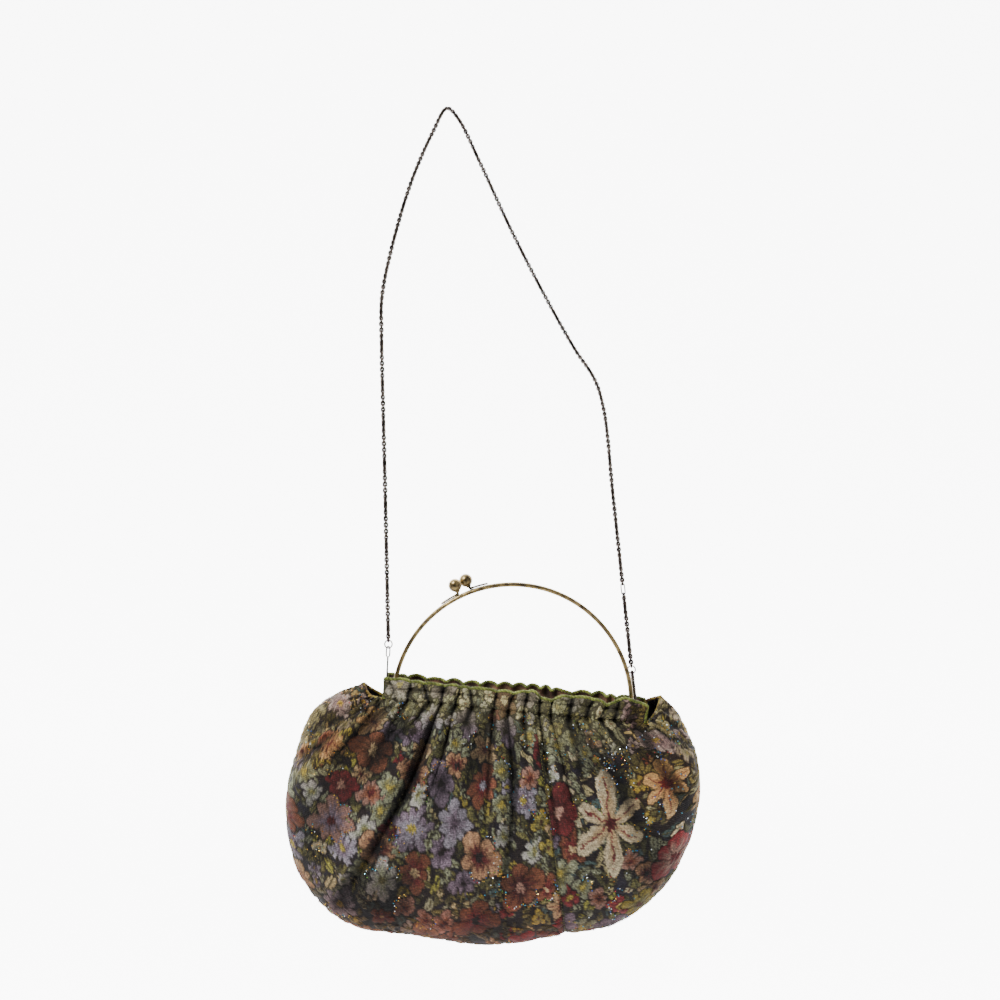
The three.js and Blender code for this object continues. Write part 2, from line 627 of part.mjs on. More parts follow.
for (const [name, pull] of Object.entries(PULLS)) {
  addTo(bag, `hinge_plate_${name}`, plateGeometry(pull.sign), BRASS);
  addTo(bag, `hinge_rivet_${name}`, rivetGeometry(pull.sign), BRASS);
  const turn = new THREE.Quaternion().setFromUnitVectors(
    new THREE.Vector3(0, 0, 1), pullDirection(pull));
  const clasp = addTo(bag, `clasp_${name}`, claspGeometry(pull.eye, pull.body), GUNMETAL);
  clasp.position.copy(alongPull(pull, 0));
  clasp.quaternion.copy(turn);
  const ring = addTo(bag, `chain_ring_${name}`,
    link(RING, RING, WIRE).rotateZ(pull.ring), GUNMETAL);
  ring.position.copy(alongPull(pull, CLASP.length));
  ring.quaternion.copy(turn);
}
purse.add(bag);

// The chain: from the left ring over the shoulder to the connector, then on to the right ring
const ringCentre = (pull) => bag.localToWorld(alongPull(pull, CLASP.length));
function beside(start, towards, distance) {
  return start.clone().add(towards.clone().sub(start).normalize().multiplyScalar(distance));
}
const leftRing = ringCentre(PULLS.left);
const rightRing = ringCentre(PULLS.right);
const lastBend = CHAIN_ROUTE[CHAIN_ROUTE.length - 1];
const connectorCentre = beside(rightRing, lastBend, CONNECTOR.up);
const ringReach = RING / 2 + GAP;
const connectorReach = CONNECTOR.long / 2 + GAP;

const chainTube = (curve) => (
  tube(curve, Math.ceil(curve.getLength() / CHAIN_STEP), CHAIN, 8));

const longCurve = new THREE.CatmullRomCurve3([
  beside(leftRing, CHAIN_ROUTE[0], ringReach), ...CHAIN_ROUTE,
  lastBend.clone().lerp(connectorCentre, 0.5),
  beside(connectorCentre, lastBend, connectorReach),
], false, 'centripetal');
addTo(purse, 'chain_long', chainTube(longCurve), GUNMETAL);

const shortCurve = new THREE.LineCurve3(
  beside(connectorCentre, rightRing, connectorReach),
  beside(rightRing, connectorCentre, ringReach));
addTo(purse, 'chain_short', chainTube(shortCurve), GUNMETAL);

const connector = addTo(purse, 'chain_connector',
  link(CONNECTOR.wide, CONNECTOR.long, CONNECTOR.wire), GUNMETAL);
connector.position.copy(connectorCentre);
connector.quaternion.setFromUnitVectors(
  new THREE.Vector3(0, 0, 1), lastBend.clone().sub(connectorCentre).normalize());

export default purse;
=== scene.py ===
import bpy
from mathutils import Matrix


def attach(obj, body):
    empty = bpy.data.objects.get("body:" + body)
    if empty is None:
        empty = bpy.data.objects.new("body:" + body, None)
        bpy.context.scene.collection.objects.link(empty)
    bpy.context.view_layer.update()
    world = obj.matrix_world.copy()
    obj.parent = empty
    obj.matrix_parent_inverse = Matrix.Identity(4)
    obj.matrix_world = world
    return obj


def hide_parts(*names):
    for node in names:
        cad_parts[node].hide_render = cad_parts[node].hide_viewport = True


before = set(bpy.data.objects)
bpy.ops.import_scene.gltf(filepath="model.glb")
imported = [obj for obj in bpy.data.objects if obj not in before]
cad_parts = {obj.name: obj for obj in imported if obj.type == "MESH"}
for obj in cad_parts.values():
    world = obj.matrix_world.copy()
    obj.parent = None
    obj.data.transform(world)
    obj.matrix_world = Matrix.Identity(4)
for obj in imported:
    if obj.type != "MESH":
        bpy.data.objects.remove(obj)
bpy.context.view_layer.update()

# Kiss lock purse: gathered tapestry cloth, corded piping, antiqued metal and a linked chain.
# The bag is made in its own frame in millimetres, and turned into metres piece by piece.
import math

import bmesh
import bpy
import numpy as np
from mathutils import Vector

MM = 0.001

# The camera stands level in front of the bag, at the height of the photo's middle
CAMERA_DISTANCE = 1450.0
VIEW_WIDTH = 950.0
VIEW_MIDDLE = (55.6, -408.8)

# The bag's frame: middle of the rods, and its tilt
BAG_PLACE = np.array([67.3, -150.0, -602.0])
BAG_TILT = math.radians(5.5)

# The same sizes as the solid model
CLOTH = 2.0
BAG_WIDTH = 383.0
BAG_DROP = 226.0
BAG_DEPTH = 110.0
GAP = 0.3
FRAME_RADIUS = 113.0
BOW_TUBE = 4.0
ROD = 3.5
LEG_DROP = 6.0
MOUTH = 7.5
CASING_WIDTH = 249.0
CASING_SHIFT = 2.5
CASING_DROP = 7.0
CASING_HALF = 3.75
ROD_SETBACK = MOUTH / 2 + CASING_HALF
HEADER_RISE = 17.0
HEADER_LEAN = 6.0
PIPING = 3.0
PIPING_SEAT = 0.5
PLEATS = 16
PLEAT_DEPTH = 3.0
END_PLEAT = 0.5
END_SETBACK = ROD_SETBACK + ROD / 2 + GAP + CLOTH / 2 + END_PLEAT * PLEAT_DEPTH
BALL = 12.6
BALL_RISE = 9.8
BALL_SETBACK = 3.7
STEM = 3.0
LEAF_THICK = 1.2
LEAF_WIDE = 3.4
TAB_THICK = 1.5
TAB_WIDE = 5.2
HINGE_DROP = 10.0
PLATE_THICK = 1.2
PLATE_HOLE = 3.8
EAR = np.array([7.0, 5.4])
BOW_SETBACK = PLATE_THICK / 2 + GAP + BOW_TUBE / 2
WIRE = 1.3
RING = 8.7
CLASP_LENGTH = 49.2
HOOK_WIRE, HOOK_WIDE, HOOK_LONG = 1.6, 7.4, 13.0
BODY_WIDE, BODY_THICK, BODY_SHARE = 4.2, 1.9, 0.68
EYE_WIDE, EYE_LONG = 6.2, 11.4
CONNECTOR_WIDE, CONNECTOR_LONG, CONNECTOR_UP = 4.8, 13.3, 85.0

# The chain's route between its rings, the same points as the solid model's
CHAIN_ROUTE = np.array([
    (-55.6, -125.2, -390), (-60.4, -107, -245), (-60.8, -99, -212), (-55, -82, -170),
    (-36, -45, -88), (-14, -14, -26), (0, 0, 1.8), (12, 16, -6), (34, 40, -46),
    (68, 58, -116), (104, 60, -186), (136, 44, -246), (156, 24, -280), (164.5, 2, -314)])
LINK_WIRE = 1.75
LINK_WIDE = 5.1
LINK_PITCH = 3.05
LINK_ROLL = math.radians(97)

# Outline of the seam: share of the half width, share of the drop
OUTLINE = np.array([
    (-0.742, -0.022), (-0.955, 0.097), (-1.046, 0.346), (-1.041, 0.589), (-0.943, 0.805),
    (-0.716, 0.961), (-0.361, 0.991), (-0.021, 1), (0.320, 0.932), (0.629, 0.848),
    (0.856, 0.645), (0.948, 0.381), (0.918, 0.139), (0.830, -0.004), (0.732, -0.087)])

# Columns of cloth: place, share of the seam that each one meets, fullness
COLUMN_AT = np.array([-2, -1.5, -1, -0.56, 0.155, 1, 1.5, 2])
COLUMN_SEAM = np.array([0.03, 0.10, 0.17, 0.342, 0.618, 0.90, 0.94, 0.975])
COLUMN_FULLNESS = np.array([0.06, 0.46, 0.76, 0.93, 1, 0.74, 0.44, 0.06])

# Down the cloth from casing to seam, in equal steps
PROFILE_DROP = np.array([0, 0.07, 0.17, 0.31, 0.48, 0.66, 0.82, 0.93, 0.985, 1])
PROFILE_LEAN = np.array([1, 0.9, 0.65, 0.35, 0.1, 0, 0, 0, 0, 0])
PROFILE_DEPTH = np.array([0, 0.20, 0.46, 0.73, 0.93, 1, 0.9, 0.68, 0.38, 0])
PROFILE_GATHER = np.array([1, 0.95, 0.75, 0.5, 0.28, 0.12, 0.05, 0, 0, 0])
PROFILE_AT = np.linspace(0, 1, len(PROFILE_DROP))

# The front is joined from two panels along one column
FRONT_SEAM = 0.155

# The two sides. Folds: column, depth, width, start, end, and height of the ridge on their left.
# The sags at the right slit are larger than the solid model's, so that the lining shows.
FRONT = {
    "name": "front", "outward": -1, "seed": 11, "seam": FRONT_SEAM, "beads": 1100,
    "left_sag": 5.0, "right_sag": 5.0,
    "edge_at": np.array([-1, -0.7, -0.28, 0, 0.12, 0.24, 0.37, 0.6, 0.7, 0.8, 0.92, 1]),
    "edge_rise": np.array([1, 0.92, 0.88, 0.84, 1, 0.56, 0.9, 0.93, 0.68, 1.1, 1.02, 0.82]),
    "folds": [(-0.5625, 10.0, 0.026, 0.06, 0.84, 3.5), (-0.98, 5.0, 0.07, 0.0, 0.6, 2.0),
              (0.5625, 3.6, 0.04, 0.1, 0.6, 1.5), (0.875, 5.0, 0.05, 0.0, 0.7, 2.0),
              (-0.27, 2.6, 0.035, 0.05, 0.5, 1.2), (0.36, 3.0, 0.035, 0.02, 0.5, 1.2),
              (-0.78, 2.4, 0.04, 0.02, 0.5, 1.0)],
}
BACK = {
    "name": "back", "outward": 1, "seed": 29, "seam": None, "beads": 700,
    "left_sag": 1.0, "right_sag": -20.0,
    "edge_at": np.array([-1, -0.75, -0.4, -0.1, 0.15, 0.35, 0.6, 0.8, 1]),
    "edge_rise": np.array([0.95, 1.04, 0.96, 1.08, 1.12, 1.02, 1.06, 0.96, 1]),
    "folds": [(-0.75, 6.0, 0.05, 0.0, 0.6, 2.0), (-0.125, 4.0, 0.04, 0.1, 0.5, 1.5),
              (0.5, 7.0, 0.04, 0.05, 0.75, 2.5), (1, 4.0, 0.07, 0.0, 0.5, 1.5)],
}

# Cloth in the gathers is this much wider than the casing
FULLNESS = 1.42
SIDE_SPARE = 1.13

# How far the pattern jumps across the seam that joins the front panels
SEAM_JUMP = np.array([31.0, 12.0])

# How far the creases push the cloth out: gathers as a share of the pleats, then in millimetres
GATHER_GAIN = 1.45
PUCKER = 3.4
DENT = 1.6
SEAM_DIP = 2.0

# Leaves, tries at placing a bloom, and sprays in the pattern
LEAVES, BLOOM_TRIES, SPRAYS = 2300, 2600, 330

# The twisted cord of the piping: length of a turn, strands
CORD_LAY, CORD_STRANDS = 3.4, 2

# Fineness of the cloth's grid
CASING_COLUMNS = 320
EAR_COLUMNS = 34
BODY_ROWS = 205
HEADER_ROWS = 26


def set_up_camera():
    data = bpy.data.cameras.new("camera")
    data.sensor_width = data.sensor_height = 36
    data.angle = 2 * math.atan(VIEW_WIDTH / 2 / CAMERA_DISTANCE)
    camera = bpy.data.objects.new("camera", data)
    bpy.context.scene.collection.objects.link(camera)
    x, z = VIEW_MIDDLE
    camera.location = (x * MM, (BAG_PLACE[1] - CAMERA_DISTANCE) * MM, z * MM)
    camera.rotation_euler = (math.pi / 2, 0, 0)
    bpy.context.scene.camera = camera


set_up_camera()


# Numbers and curves

def turned(points):
    """Directions or points of the bag's frame, turned by its tilt."""
    points = np.asarray(points, float)
    c, s = math.cos(BAG_TILT), math.sin(BAG_TILT)
    u, y, v = points[..., 0], points[..., 1], points[..., 2]
    return np.stack([u * c + v * s, y, v * c - u * s], -1)


def to_world(points):
    """Bag frame to the part's frame, in millimetres."""
    return turned(points) + BAG_PLACE


def to_scene(points):
    """Bag frame in millimetres to scene metres."""
    return to_world(points) * MM


def smooth(x):
    x = np.clip(x, 0, 1)
    return x * x * (3 - 2 * x)


def along(at, values, x):
    """A smooth value between the rows of a table, as in the solid model."""
    x = np.asarray(x, float)
    k = np.clip(np.searchsorted(at, x, side="left") - 1, 0, len(at) - 2)
    index = np.arange(len(at))
    low, high = np.maximum(index - 1, 0), np.minimum(index + 1, len(at) - 1)
    slope = (values[high] - values[low]) / (at[high] - at[low])
    span = at[k + 1] - at[k]
    s = np.clip((x - at[k]) / span, 0, 1)
    rise = values[k + 1] - values[k]
    bend = (1 - s) * (slope[k] * span - rise) - s * (slope[k + 1] * span - rise)
    return values[k] + s * rise + s * (1 - s) * bend


def catmull(points, per_step=40):
    """Points on the centripetal curve through a list of points."""
    points = np.asarray(points, float)
    whole = np.vstack([2 * points[0] - points[1], points, 2 * points[-1] - points[-2]])
    found = []
    for a, b, c, d in zip(whole, whole[1:], whole[2:], whole[3:]):
        t1 = np.linalg.norm(b - a) ** 0.5
        t2 = t1 + np.linalg.norm(c - b) ** 0.5
        t3 = t2 + np.linalg.norm(d - c) ** 0.5
        t = np.linspace(t1, t2, per_step, endpoint=False)[:, None]
        ab = a + (b - a) * t / t1
        bc = b + (c - b) * (t - t1) / (t2 - t1)
        cd = c + (d - c) * (t - t2) / (t3 - t2)
        abc = ab + (bc - ab) * t / t2
        bcd = bc + (cd - bc) * (t - t1) / (t3 - t1)
        found.append(abc + (bcd - abc) * (t - t1) / (t2 - t1))
    return np.vstack(found + [points[-1:]])


def unit(vector):
    return vector / np.linalg.norm(vector)


def axes_about(up, across):
    """Rows that turn a shape's X to one direction and its Z to another, square to it."""
    across = unit(across)
    return np.stack([across, np.cross(up, across), up])


def hanging_axes(up):
    """Axes about a direction, with the first as near to the part's X as it can be."""
    return axes_about(up, np.array((1.0, 0, 0)) - up * up[0])


def lengths(points):
    return np.concatenate([[0], np.cumsum(np.linalg.norm(np.diff(points, axis=0), axis=1))])


def at_length(points, s):
    run = lengths(points)
    return np.stack([np.interp(s, run, points[:, k]) for k in range(points.shape[1])], -1)


SEAM = catmull(OUTLINE * (BAG_WIDTH / 2, -BAG_DROP))
SEAM_LENGTH = lengths(SEAM)[-1]


def value_noise(x, z, size, seed):
    """Smooth noise from -1 to 1, with features of about that size."""
    rng = np.random.default_rng(seed)
    grid = rng.uniform(-1, 1, (64, 64))
    gx, gz = np.asarray(x) / size + 1000.0, np.asarray(z) / size + 1000.0
    i, j = np.floor(gx).astype(int), np.floor(gz).astype(int)
    fx, fz = smooth(gx - i), smooth(gz - j)
    a, b = grid[i % 64, j % 64], grid[(i + 1) % 64, j % 64]
    c, d = grid[i % 64, (j + 1) % 64], grid[(i + 1) % 64, (j + 1) % 64]
    return (a * (1 - fx) + b * fx) * (1 - fz) + (c * (1 - fx) + d * fx) * fz


# The cloth's shape

def casing_place(x):
    return CASING_SHIFT + x * CASING_WIDTH / 2


def casing_share(x):
    reach = FRAME_RADIUS - ROD / 2 - GAP - np.abs(casing_place(x))
    return smooth(reach / (BOW_TUBE + GAP))


def casing_setback(x):
    return END_SETBACK + (ROD_SETBACK - END_SETBACK) * casing_share(x)


def top_line(side, q):
    """The casing's lower edge, and beyond it the edges of the side slits."""
    x = np.clip(q, -1, 1)
    corner = np.stack([casing_place(x), np.full_like(x, -CASING_DROP)], -1)
    e = np.clip(np.abs(q) - 1, 0, 1)
    tip = np.where((q < 0)[..., None], SEAM[0], SEAM[-1])
    line = corner + (tip - corner) * e[..., None]
    sag = np.where(q < 0, side["left_sag"], side["right_sag"])
    bend = np.where(sag < 0, smooth(e * 12) * (1 - e), (27 / 4) * e ** 2 * (1 - e))
    line[..., 1] -= sag * bend
    return line


def bag_sheet(side, q, down):
    """Middle of the cloth below the casing, for a grid of columns and shares of the way down."""
    top = top_line(side, q)
    seam = at_length(SEAM, along(COLUMN_AT, COLUMN_SEAM, q) * SEAM_LENGTH)
    plane = top + (seam - top) * along(PROFILE_AT, PROFILE_DROP, down)[..., None]
    e = np.clip(np.abs(q) - 1, 0, 1)
    lip = np.where(e > 0, END_SETBACK + (CLOTH / 2 - END_SETBACK) * e * e, casing_setback(q))
    depth = GAP / 2 + lip * along(PROFILE_AT, PROFILE_LEAN, down)
    full = along(COLUMN_AT, COLUMN_FULLNESS, q) * along(PROFILE_AT, PROFILE_DEPTH, down)
    return np.stack([plane[..., 0], side["outward"] * (depth + BAG_DEPTH / 2 * full),
                     plane[..., 1]], -1)


def grid_normals(points, outward):
    normal = np.cross(np.gradient(points, axis=0), np.gradient(points, axis=1))
    normal /= np.maximum(np.linalg.norm(normal, axis=-1, keepdims=True), 1e-9)
    return normal * -outward


def pleat_wave(side, x, drift):
    """Broad ridges and sharp valleys from -1 to 1, of uneven widths and heights."""
    seed = side["seed"]
    wander = 1.5 * value_noise(x * PLEATS / 2.6, drift, 1.0, seed)
    phase = math.pi * PLEATS * (x + 1) / 2 + wander
    ridge = np.abs(np.cos(phase)) ** 0.75
    height = 0.85 + 0.3 * value_noise(x * PLEATS / 2, 0 * x, 1.0, seed + 5)
    return 2 * ridge * height - 1


def creases(side, q, down):
    """How far gathers, puckers, folds and dents push the cloth out, in millimetres."""
    x = np.clip(q, -1, 1)
    seed = side["seed"]
    strength = smooth((1 - np.abs(q)) * PLEATS / 2)
    strength = strength * (END_PLEAT + (1 - END_PLEAT) * casing_share(x))
    reach = 0.34 + 0.26 * value_noise(x * PLEATS / 1.7, 0 * x, 1.0, seed + 1)
    fade = smooth((reach - down) / 0.34 + 0.4)
    push = GATHER_GAIN * PLEAT_DEPTH * pleat_wave(side, x, down * 3) * strength * fade
    pucker = value_noise(q * 30, down * 15, 1.0, seed + 7)
    push = push + PUCKER * pucker * np.exp(-(down / 0.2) ** 2) * smooth(down * 20)
    for count, amount, low, high, shift in ((11, 1.3, 0.05, 0.5, 2), (5, 1.3, 0.2, 0.9, 3)):
        phase = math.pi * count * (q + 1) + 2.6 * value_noise(q * 2, down * 2.4, 1.0, seed + shift)
        window = smooth((down - low) * 6) * smooth((high - down) * 4)
        push = push + amount * np.cos(phase) * window
    dents = value_noise(q * 4.2, down * 4.5, 1.0, seed + 4)
    push = push + DENT * dents * smooth(down * 5) * smooth((1 - down) * 5)
    for at, deep, wide, start, end, ridge in side["folds"]:
        window = smooth((down - start) * 6) * smooth((end - down) * 4)
        bent = q - at - 0.02 * np.sin(down * 7 + at)
        push = push - deep * window * np.exp(-np.abs(bent / wide) ** 1.4)
        push = push + ridge * window * np.exp(-((bent + 2.4 * wide) / (1.5 * wide)) ** 2)
    if side["seam"] is not None:
        push = push - SEAM_DIP * np.exp(-np.abs((q - side["seam"]) / 0.008)) * smooth(down * 12)
    return push * smooth((2 - np.abs(q)) * 3)


def across_seam(side, q, x, z):
    """The pattern jumps at the seam between the front panels."""
    if side["seam"] is None:
        return x, z
    right = q > side["seam"]
    return x + SEAM_JUMP[0] * right, z + SEAM_JUMP[1] * right


def flat_places(side, q, down, points):
    """Where the cloth lay before it was gathered. Lengths down each column are kept."""
    gather = along(PROFILE_AT, PROFILE_GATHER, down)
    squeeze = SIDE_SPARE + (FULLNESS - SIDE_SPARE) * gather
    first, last = EAR_COLUMNS, q.shape[1] - 1 - EAR_COLUMNS
    u, v = points[..., 0], points[..., 2]
    x = u * squeeze
    step = np.linalg.norm(np.diff(points, axis=0), axis=-1)
    fall = np.sqrt(np.maximum(step ** 2 - np.diff(x, axis=0) ** 2, (0.4 * step) ** 2))
    z = v[:1] - np.concatenate([np.zeros_like(fall[:1]), np.cumsum(fall, axis=0)])
    for edge, ear in ((first, slice(0, first)), (last, slice(last + 1, None))):
        own = smooth((np.abs(q[:, ear]) - 1) * 2.5)
        for place, flat in ((u, x), (v, z)):
            beside = flat[:, edge, None] + (place[:, ear] - place[:, edge, None]) * SIDE_SPARE
            apart = flat[0, edge] + (place[:, ear] - place[0, edge]) * SIDE_SPARE
            flat[:, ear] = beside + (apart - beside) * own
    return across_seam(side, q, x, z)


def header_level(side, x, share):
    """Height above the rods of a share of the header, from the casing's lower edge up."""
    rise = along(side["edge_at"], side["edge_rise"], x)
    edge = HEADER_RISE * rise - PIPING - PIPING_SEAT
    return share * (edge + CASING_DROP) - CASING_DROP


def header_wave(side, x, level):
    strength = END_PLEAT + (1 - END_PLEAT) * casing_share(x)
    return pleat_wave(side, x, (level + CASING_DROP) * 0.04) * strength


def header_sheet(side, x, share, outer):
    """Casing and header: share runs from 0 at the casing's lower edge to 1 at the top edge."""
    full = casing_share(x)
    level = header_level(side, x, share)
    lean = HEADER_LEAN * smooth((level - CASING_HALF) / (HEADER_RISE - 2 * CASING_HALF))
    wave = header_wave(side, x, level)
    swing = along(np.array([-0.01, 0.35, 0.62, 1.01]), np.array([1.4, 1.1, 1.2, 1.4]), share)
    free = casing_setback(x) + lean + wave * PLEAT_DEPTH * swing
    round_rod = np.clip(1 - (level / (CASING_HALF + 1.2)) ** 2, 0, 1) ** 0.5 * full
    if outer:
        held = ROD_SETBACK + 2.5 + 2.7 * (wave + 1)
        depth = (free + CLOTH / 2) * (1 - round_rod) + held * round_rod
    else:
        depth = (free - CLOTH / 2) * (1 - round_rod) + (MOUTH / 2 + 0.1) * round_rod
        depth = np.maximum(depth, MOUTH / 2 * full)
    ruffle = 1.5 * wave * smooth(share * 2.5 - 1.5)
    return np.stack([casing_place(x), side["outward"] * depth, level + ruffle], -1)


# The woven pattern

# Yarn colours as sRGB
YARNS = dict(
    ground="1e1716", navy="201d26", olive="66613a", sage="7d7f66", moss="45432a", lime="85813c",
    cream="bfae8c", sand="a08763", tan="8c6a4e", grey="96918a", burgundy="421a19", wine="5c2323",
    crimson="74292a", rust="6f4430", rose="8a685a", mauve="6c5d68", lilac="827b83",
    purple="43363f", yellow="8f7f38", brown="4a3122", teal="445350", straw="a89a70")


def linear(code):
    parts = np.array([int(code[k:k + 2], 16) / 255 for k in (0, 2, 4)])
    return np.where(parts < 0.04045, parts / 12.92, ((parts + 0.055) / 1.055) ** 2.4)


YARN = {name: linear(code) for name, code in YARNS.items()}


class Tapestry:
    """Paints flowers and leaves on points of the flat cloth, and how far they stand out."""

    def __init__(self, x, z, seed):
        x, z = x.ravel(), z.ravel()
        self.rng = np.random.default_rng(seed)
        self.x = x + 2.0 * value_noise(x, z, 7, seed) + 0.7 * value_noise(x, z, 2.4, seed + 1)
        self.z = z + 2.0 * value_noise(x, z, 7, seed + 2) + 0.7 * value_noise(x, z, 2.4, seed + 3)
        share = smooth(value_noise(x, z, 9, seed + 4) + 0.3)[:, None]
        self.colour = YARN["ground"] * (1 - share) + YARN["navy"] * share
        self.relief = np.zeros(len(x))
        self.rims = []

    def near(self, cx, cz, reach):
        dx, dz = self.x - cx, self.z - cz
        found = np.flatnonzero((np.abs(dx) < reach) & (np.abs(dz) < reach))
        return found, dx[found], dz[found]

    def lay(self, index, share, colour, height):
        share = np.clip(share, 0, 1)
        self.colour[index] += (colour - self.colour[index]) * share[:, None]
        self.relief[index] += (height - self.relief[index]) * share

    def leaf(self, cx, cz, long, wide, turn, yarn):
        index, dx, dz = self.near(cx, cz, long * 0.55 + 2)
        if not len(index):
            return
        s = (dx * math.cos(turn) + dz * math.sin(turn)) / long * 2
        w = (dz * math.cos(turn) - dx * math.sin(turn)) / wide * 2 + 0.25 * s * s - 0.1
        edge = (1 - np.clip(np.abs(s), 0, 1) ** 1.7) - np.abs(w)
        self.lay(index, smooth(edge * wide / 2 + 1.4), YARN["ground"], 0.0)
        level = 0.75 + 0.4 * self.rng.random()
        ribs = 0.84 + 0.3 * (np.sin((s * long / 2 + np.abs(w) * 3) * 2.2) > 0)
        colour = YARN[yarn] * level * ribs[:, None]
        colour = np.where((np.abs(w) < 0.16)[:, None], YARN["moss"] * 0.8, colour)
        self.lay(index, smooth(edge * wide / 2 + 0.3), colour, 0.95 * smooth(edge * 2.2))

    def flower(self, cx, cz, radius, petals, yarns, turn, slim, point, streak=None):
        """Yarns: rim, inside, centre. Slim is how deep the petals are cut, point how sharp."""
        index, dx, dz = self.near(cx, cz, radius * 1.25 + 2)
        if not len(index):
            return
        rim, inside, centre = (YARN[name] for name in yarns.split())
        r = np.hypot(dx, dz)
        angle = np.arctan2(dz, dx) - turn
        lobe = np.abs(np.cos(petals * angle / 2))
        which = np.round(petals * angle / (2 * math.pi)) % petals
        own = 1 + 0.2 * np.sin(which * 2.4 + cx)
        bound = radius * own * ((1 - slim) + slim * lobe ** point)
        self.lay(index, smooth(bound + 1.7 - r), YARN["ground"], 0.0)
        share = np.clip(r / np.maximum(bound, 0.1), 0, 1)
        level = 0.8 + 0.35 * self.rng.random()
        fine = 0.84 + 0.3 * (np.sin(angle * petals * 5 + r * 0.4) > 0)
        blend = smooth((share - 0.34 + 0.14 * np.sin(angle * petals * 3)) * 2.2)[:, None]
        colour = (inside * (1 - blend) + rim * blend) * level * fine[:, None]
        colour = colour * (0.4 + 0.6 * smooth((lobe - 0.1) * 3.2))[:, None]
        if streak:
            middle = np.abs(np.sin(petals * angle / 2))
            line = (middle < 0.26 * (1 - share)) & (share < 0.85)
            colour = np.where(line[:, None], YARN[streak] * fine[:, None], colour)
        heart = np.clip(radius * 0.22, 1.6, 5.5) * (1 + 0.2 * np.sin(angle * 7))
        dots = 0.7 + 0.6 * (np.sin(r * 2.6) * np.sin(angle * 8) > 0)
        colour = np.where((r < heart)[:, None], centre * dots[:, None], colour)
        height = 1.5 * np.sqrt(np.clip(1 - share ** 2, 0, 1)) * (0.55 + 0.45 * lobe)
        self.lay(index, smooth(bound - r + 0.2), colour, height)
        self.rims.append((cx, cz, radius, petals, turn, slim, point))

    def spray(self, cx, cz, reach, yarn):
        """Four leaves fanned from one stem."""
        turn = self.rng.uniform(0, 2 * math.pi)
        for k in range(4):
            bend = turn + (k - 1.5) * 0.65
            out = reach * (0.5 + 0.2 * self.rng.random())
            self.leaf(cx + out * math.cos(bend), cz + out * math.sin(bend),
                      reach * (0.8 + 0.3 * self.rng.random()), reach * 0.36, bend, yarn)


# Blooms: least and most radius, petals, yarns, cut, point, streak, how common, warmth
BLOOMS = [
    (15, 22, 5, "tan burgundy ground", 0.28, 1, None, 7, 1),
    (14, 20, 5, "wine burgundy rose", 0.3, 1, None, 6, 1),
    (13, 18, 6, "rust wine sand", 0.32, 1, None, 7, 1),
    (13, 19, 6, "mauve purple ground", 0.32, 0.8, None, 7, -1),
    (13, 18, 11, "lilac mauve yellow", 0.38, 0.6, None, 6, -1),
    (12, 17, 6, "sand tan burgundy", 0.42, 0.9, "burgundy", 5, 0),
    (10, 15, 6, "rose rust burgundy", 0.36, 0.8, None, 6, 1),
    (9, 14, 7, "sage olive yellow", 0.4, 0.8, None, 9, -1),
    (8, 12, 6, "grey sage olive", 0.45, 0.8, None, 8, -1),
    (8, 11, 5, "crimson wine yellow", 0.4, 0.8, None, 4, 1),
    (6, 9, 5, "yellow olive brown", 0.4, 0.8, None, 6, 0),
    (6, 9, 5, "lilac purple yellow", 0.42, 0.8, None, 6, -1),
    (6, 8, 5, "cream sage rust", 0.45, 0.8, None, 5, 0),
]

# Large blooms: place on the flat cloth, radius, petals, yarns, turn, cut, point,
# and at times a streak
FRONT_HEROES = [
    (150, -96, 43, 6, "cream sand burgundy", 0.62, 0.76, 1.25, "wine"),
    (94, -88, 23, 5, "wine burgundy rose", 0.2, 0.28, 1),
    (-20, -146, 22, 5, "tan burgundy ground", 1.0, 0.3, 1),
    (26, -168, 23, 5, "rust burgundy rose", 0.5, 0.3, 1),
    (-26, -82, 19, 6, "rust wine lilac", 0.3, 0.32, 1),
    (-52, -118, 20, 7, "lilac mauve purple", 0.9, 0.3, 0.8),
    (-98, -128, 22, 12, "mauve lilac yellow", 0.2, 0.36, 0.6),
    (-120, -178, 20, 6, "grey sage olive", 0.7, 0.5, 0.8),
    (-18, -206, 22, 5, "rust wine ground", 0.1, 0.3, 1),
    (36, -236, 20, 6, "crimson wine rose", 0.4, 0.3, 1),
    (96, -196, 21, 9, "mauve purple ground", 0.6, 0.34, 0.8),
    (130, -230, 22, 6, "crimson rust sand", 0.2, 0.34, 1),
    (-160, -62, 22, 5, "rust brown sand", 0.4, 0.3, 1),
    (-182, -132, 21, 7, "rose mauve burgundy", 0.8, 0.34, 0.9),
    (-66, -238, 21, 6, "tan rust yellow", 0.1, 0.36, 0.9),
    (206, -66, 24, 6, "sand tan wine", 0.6, 0.5, 0.9, "wine"),
    (214, -132, 22, 5, "crimson rose wine", 0.1, 0.3, 1),
    (96, -142, 18, 7, "sage olive yellow", 0.5, 0.4, 0.8),
    (182, -176, 17, 7, "yellow olive brown", 0.2, 0.4, 0.8),
    (-160, -210, 17, 11, "lilac purple yellow", 0.2, 0.36, 0.7),
]
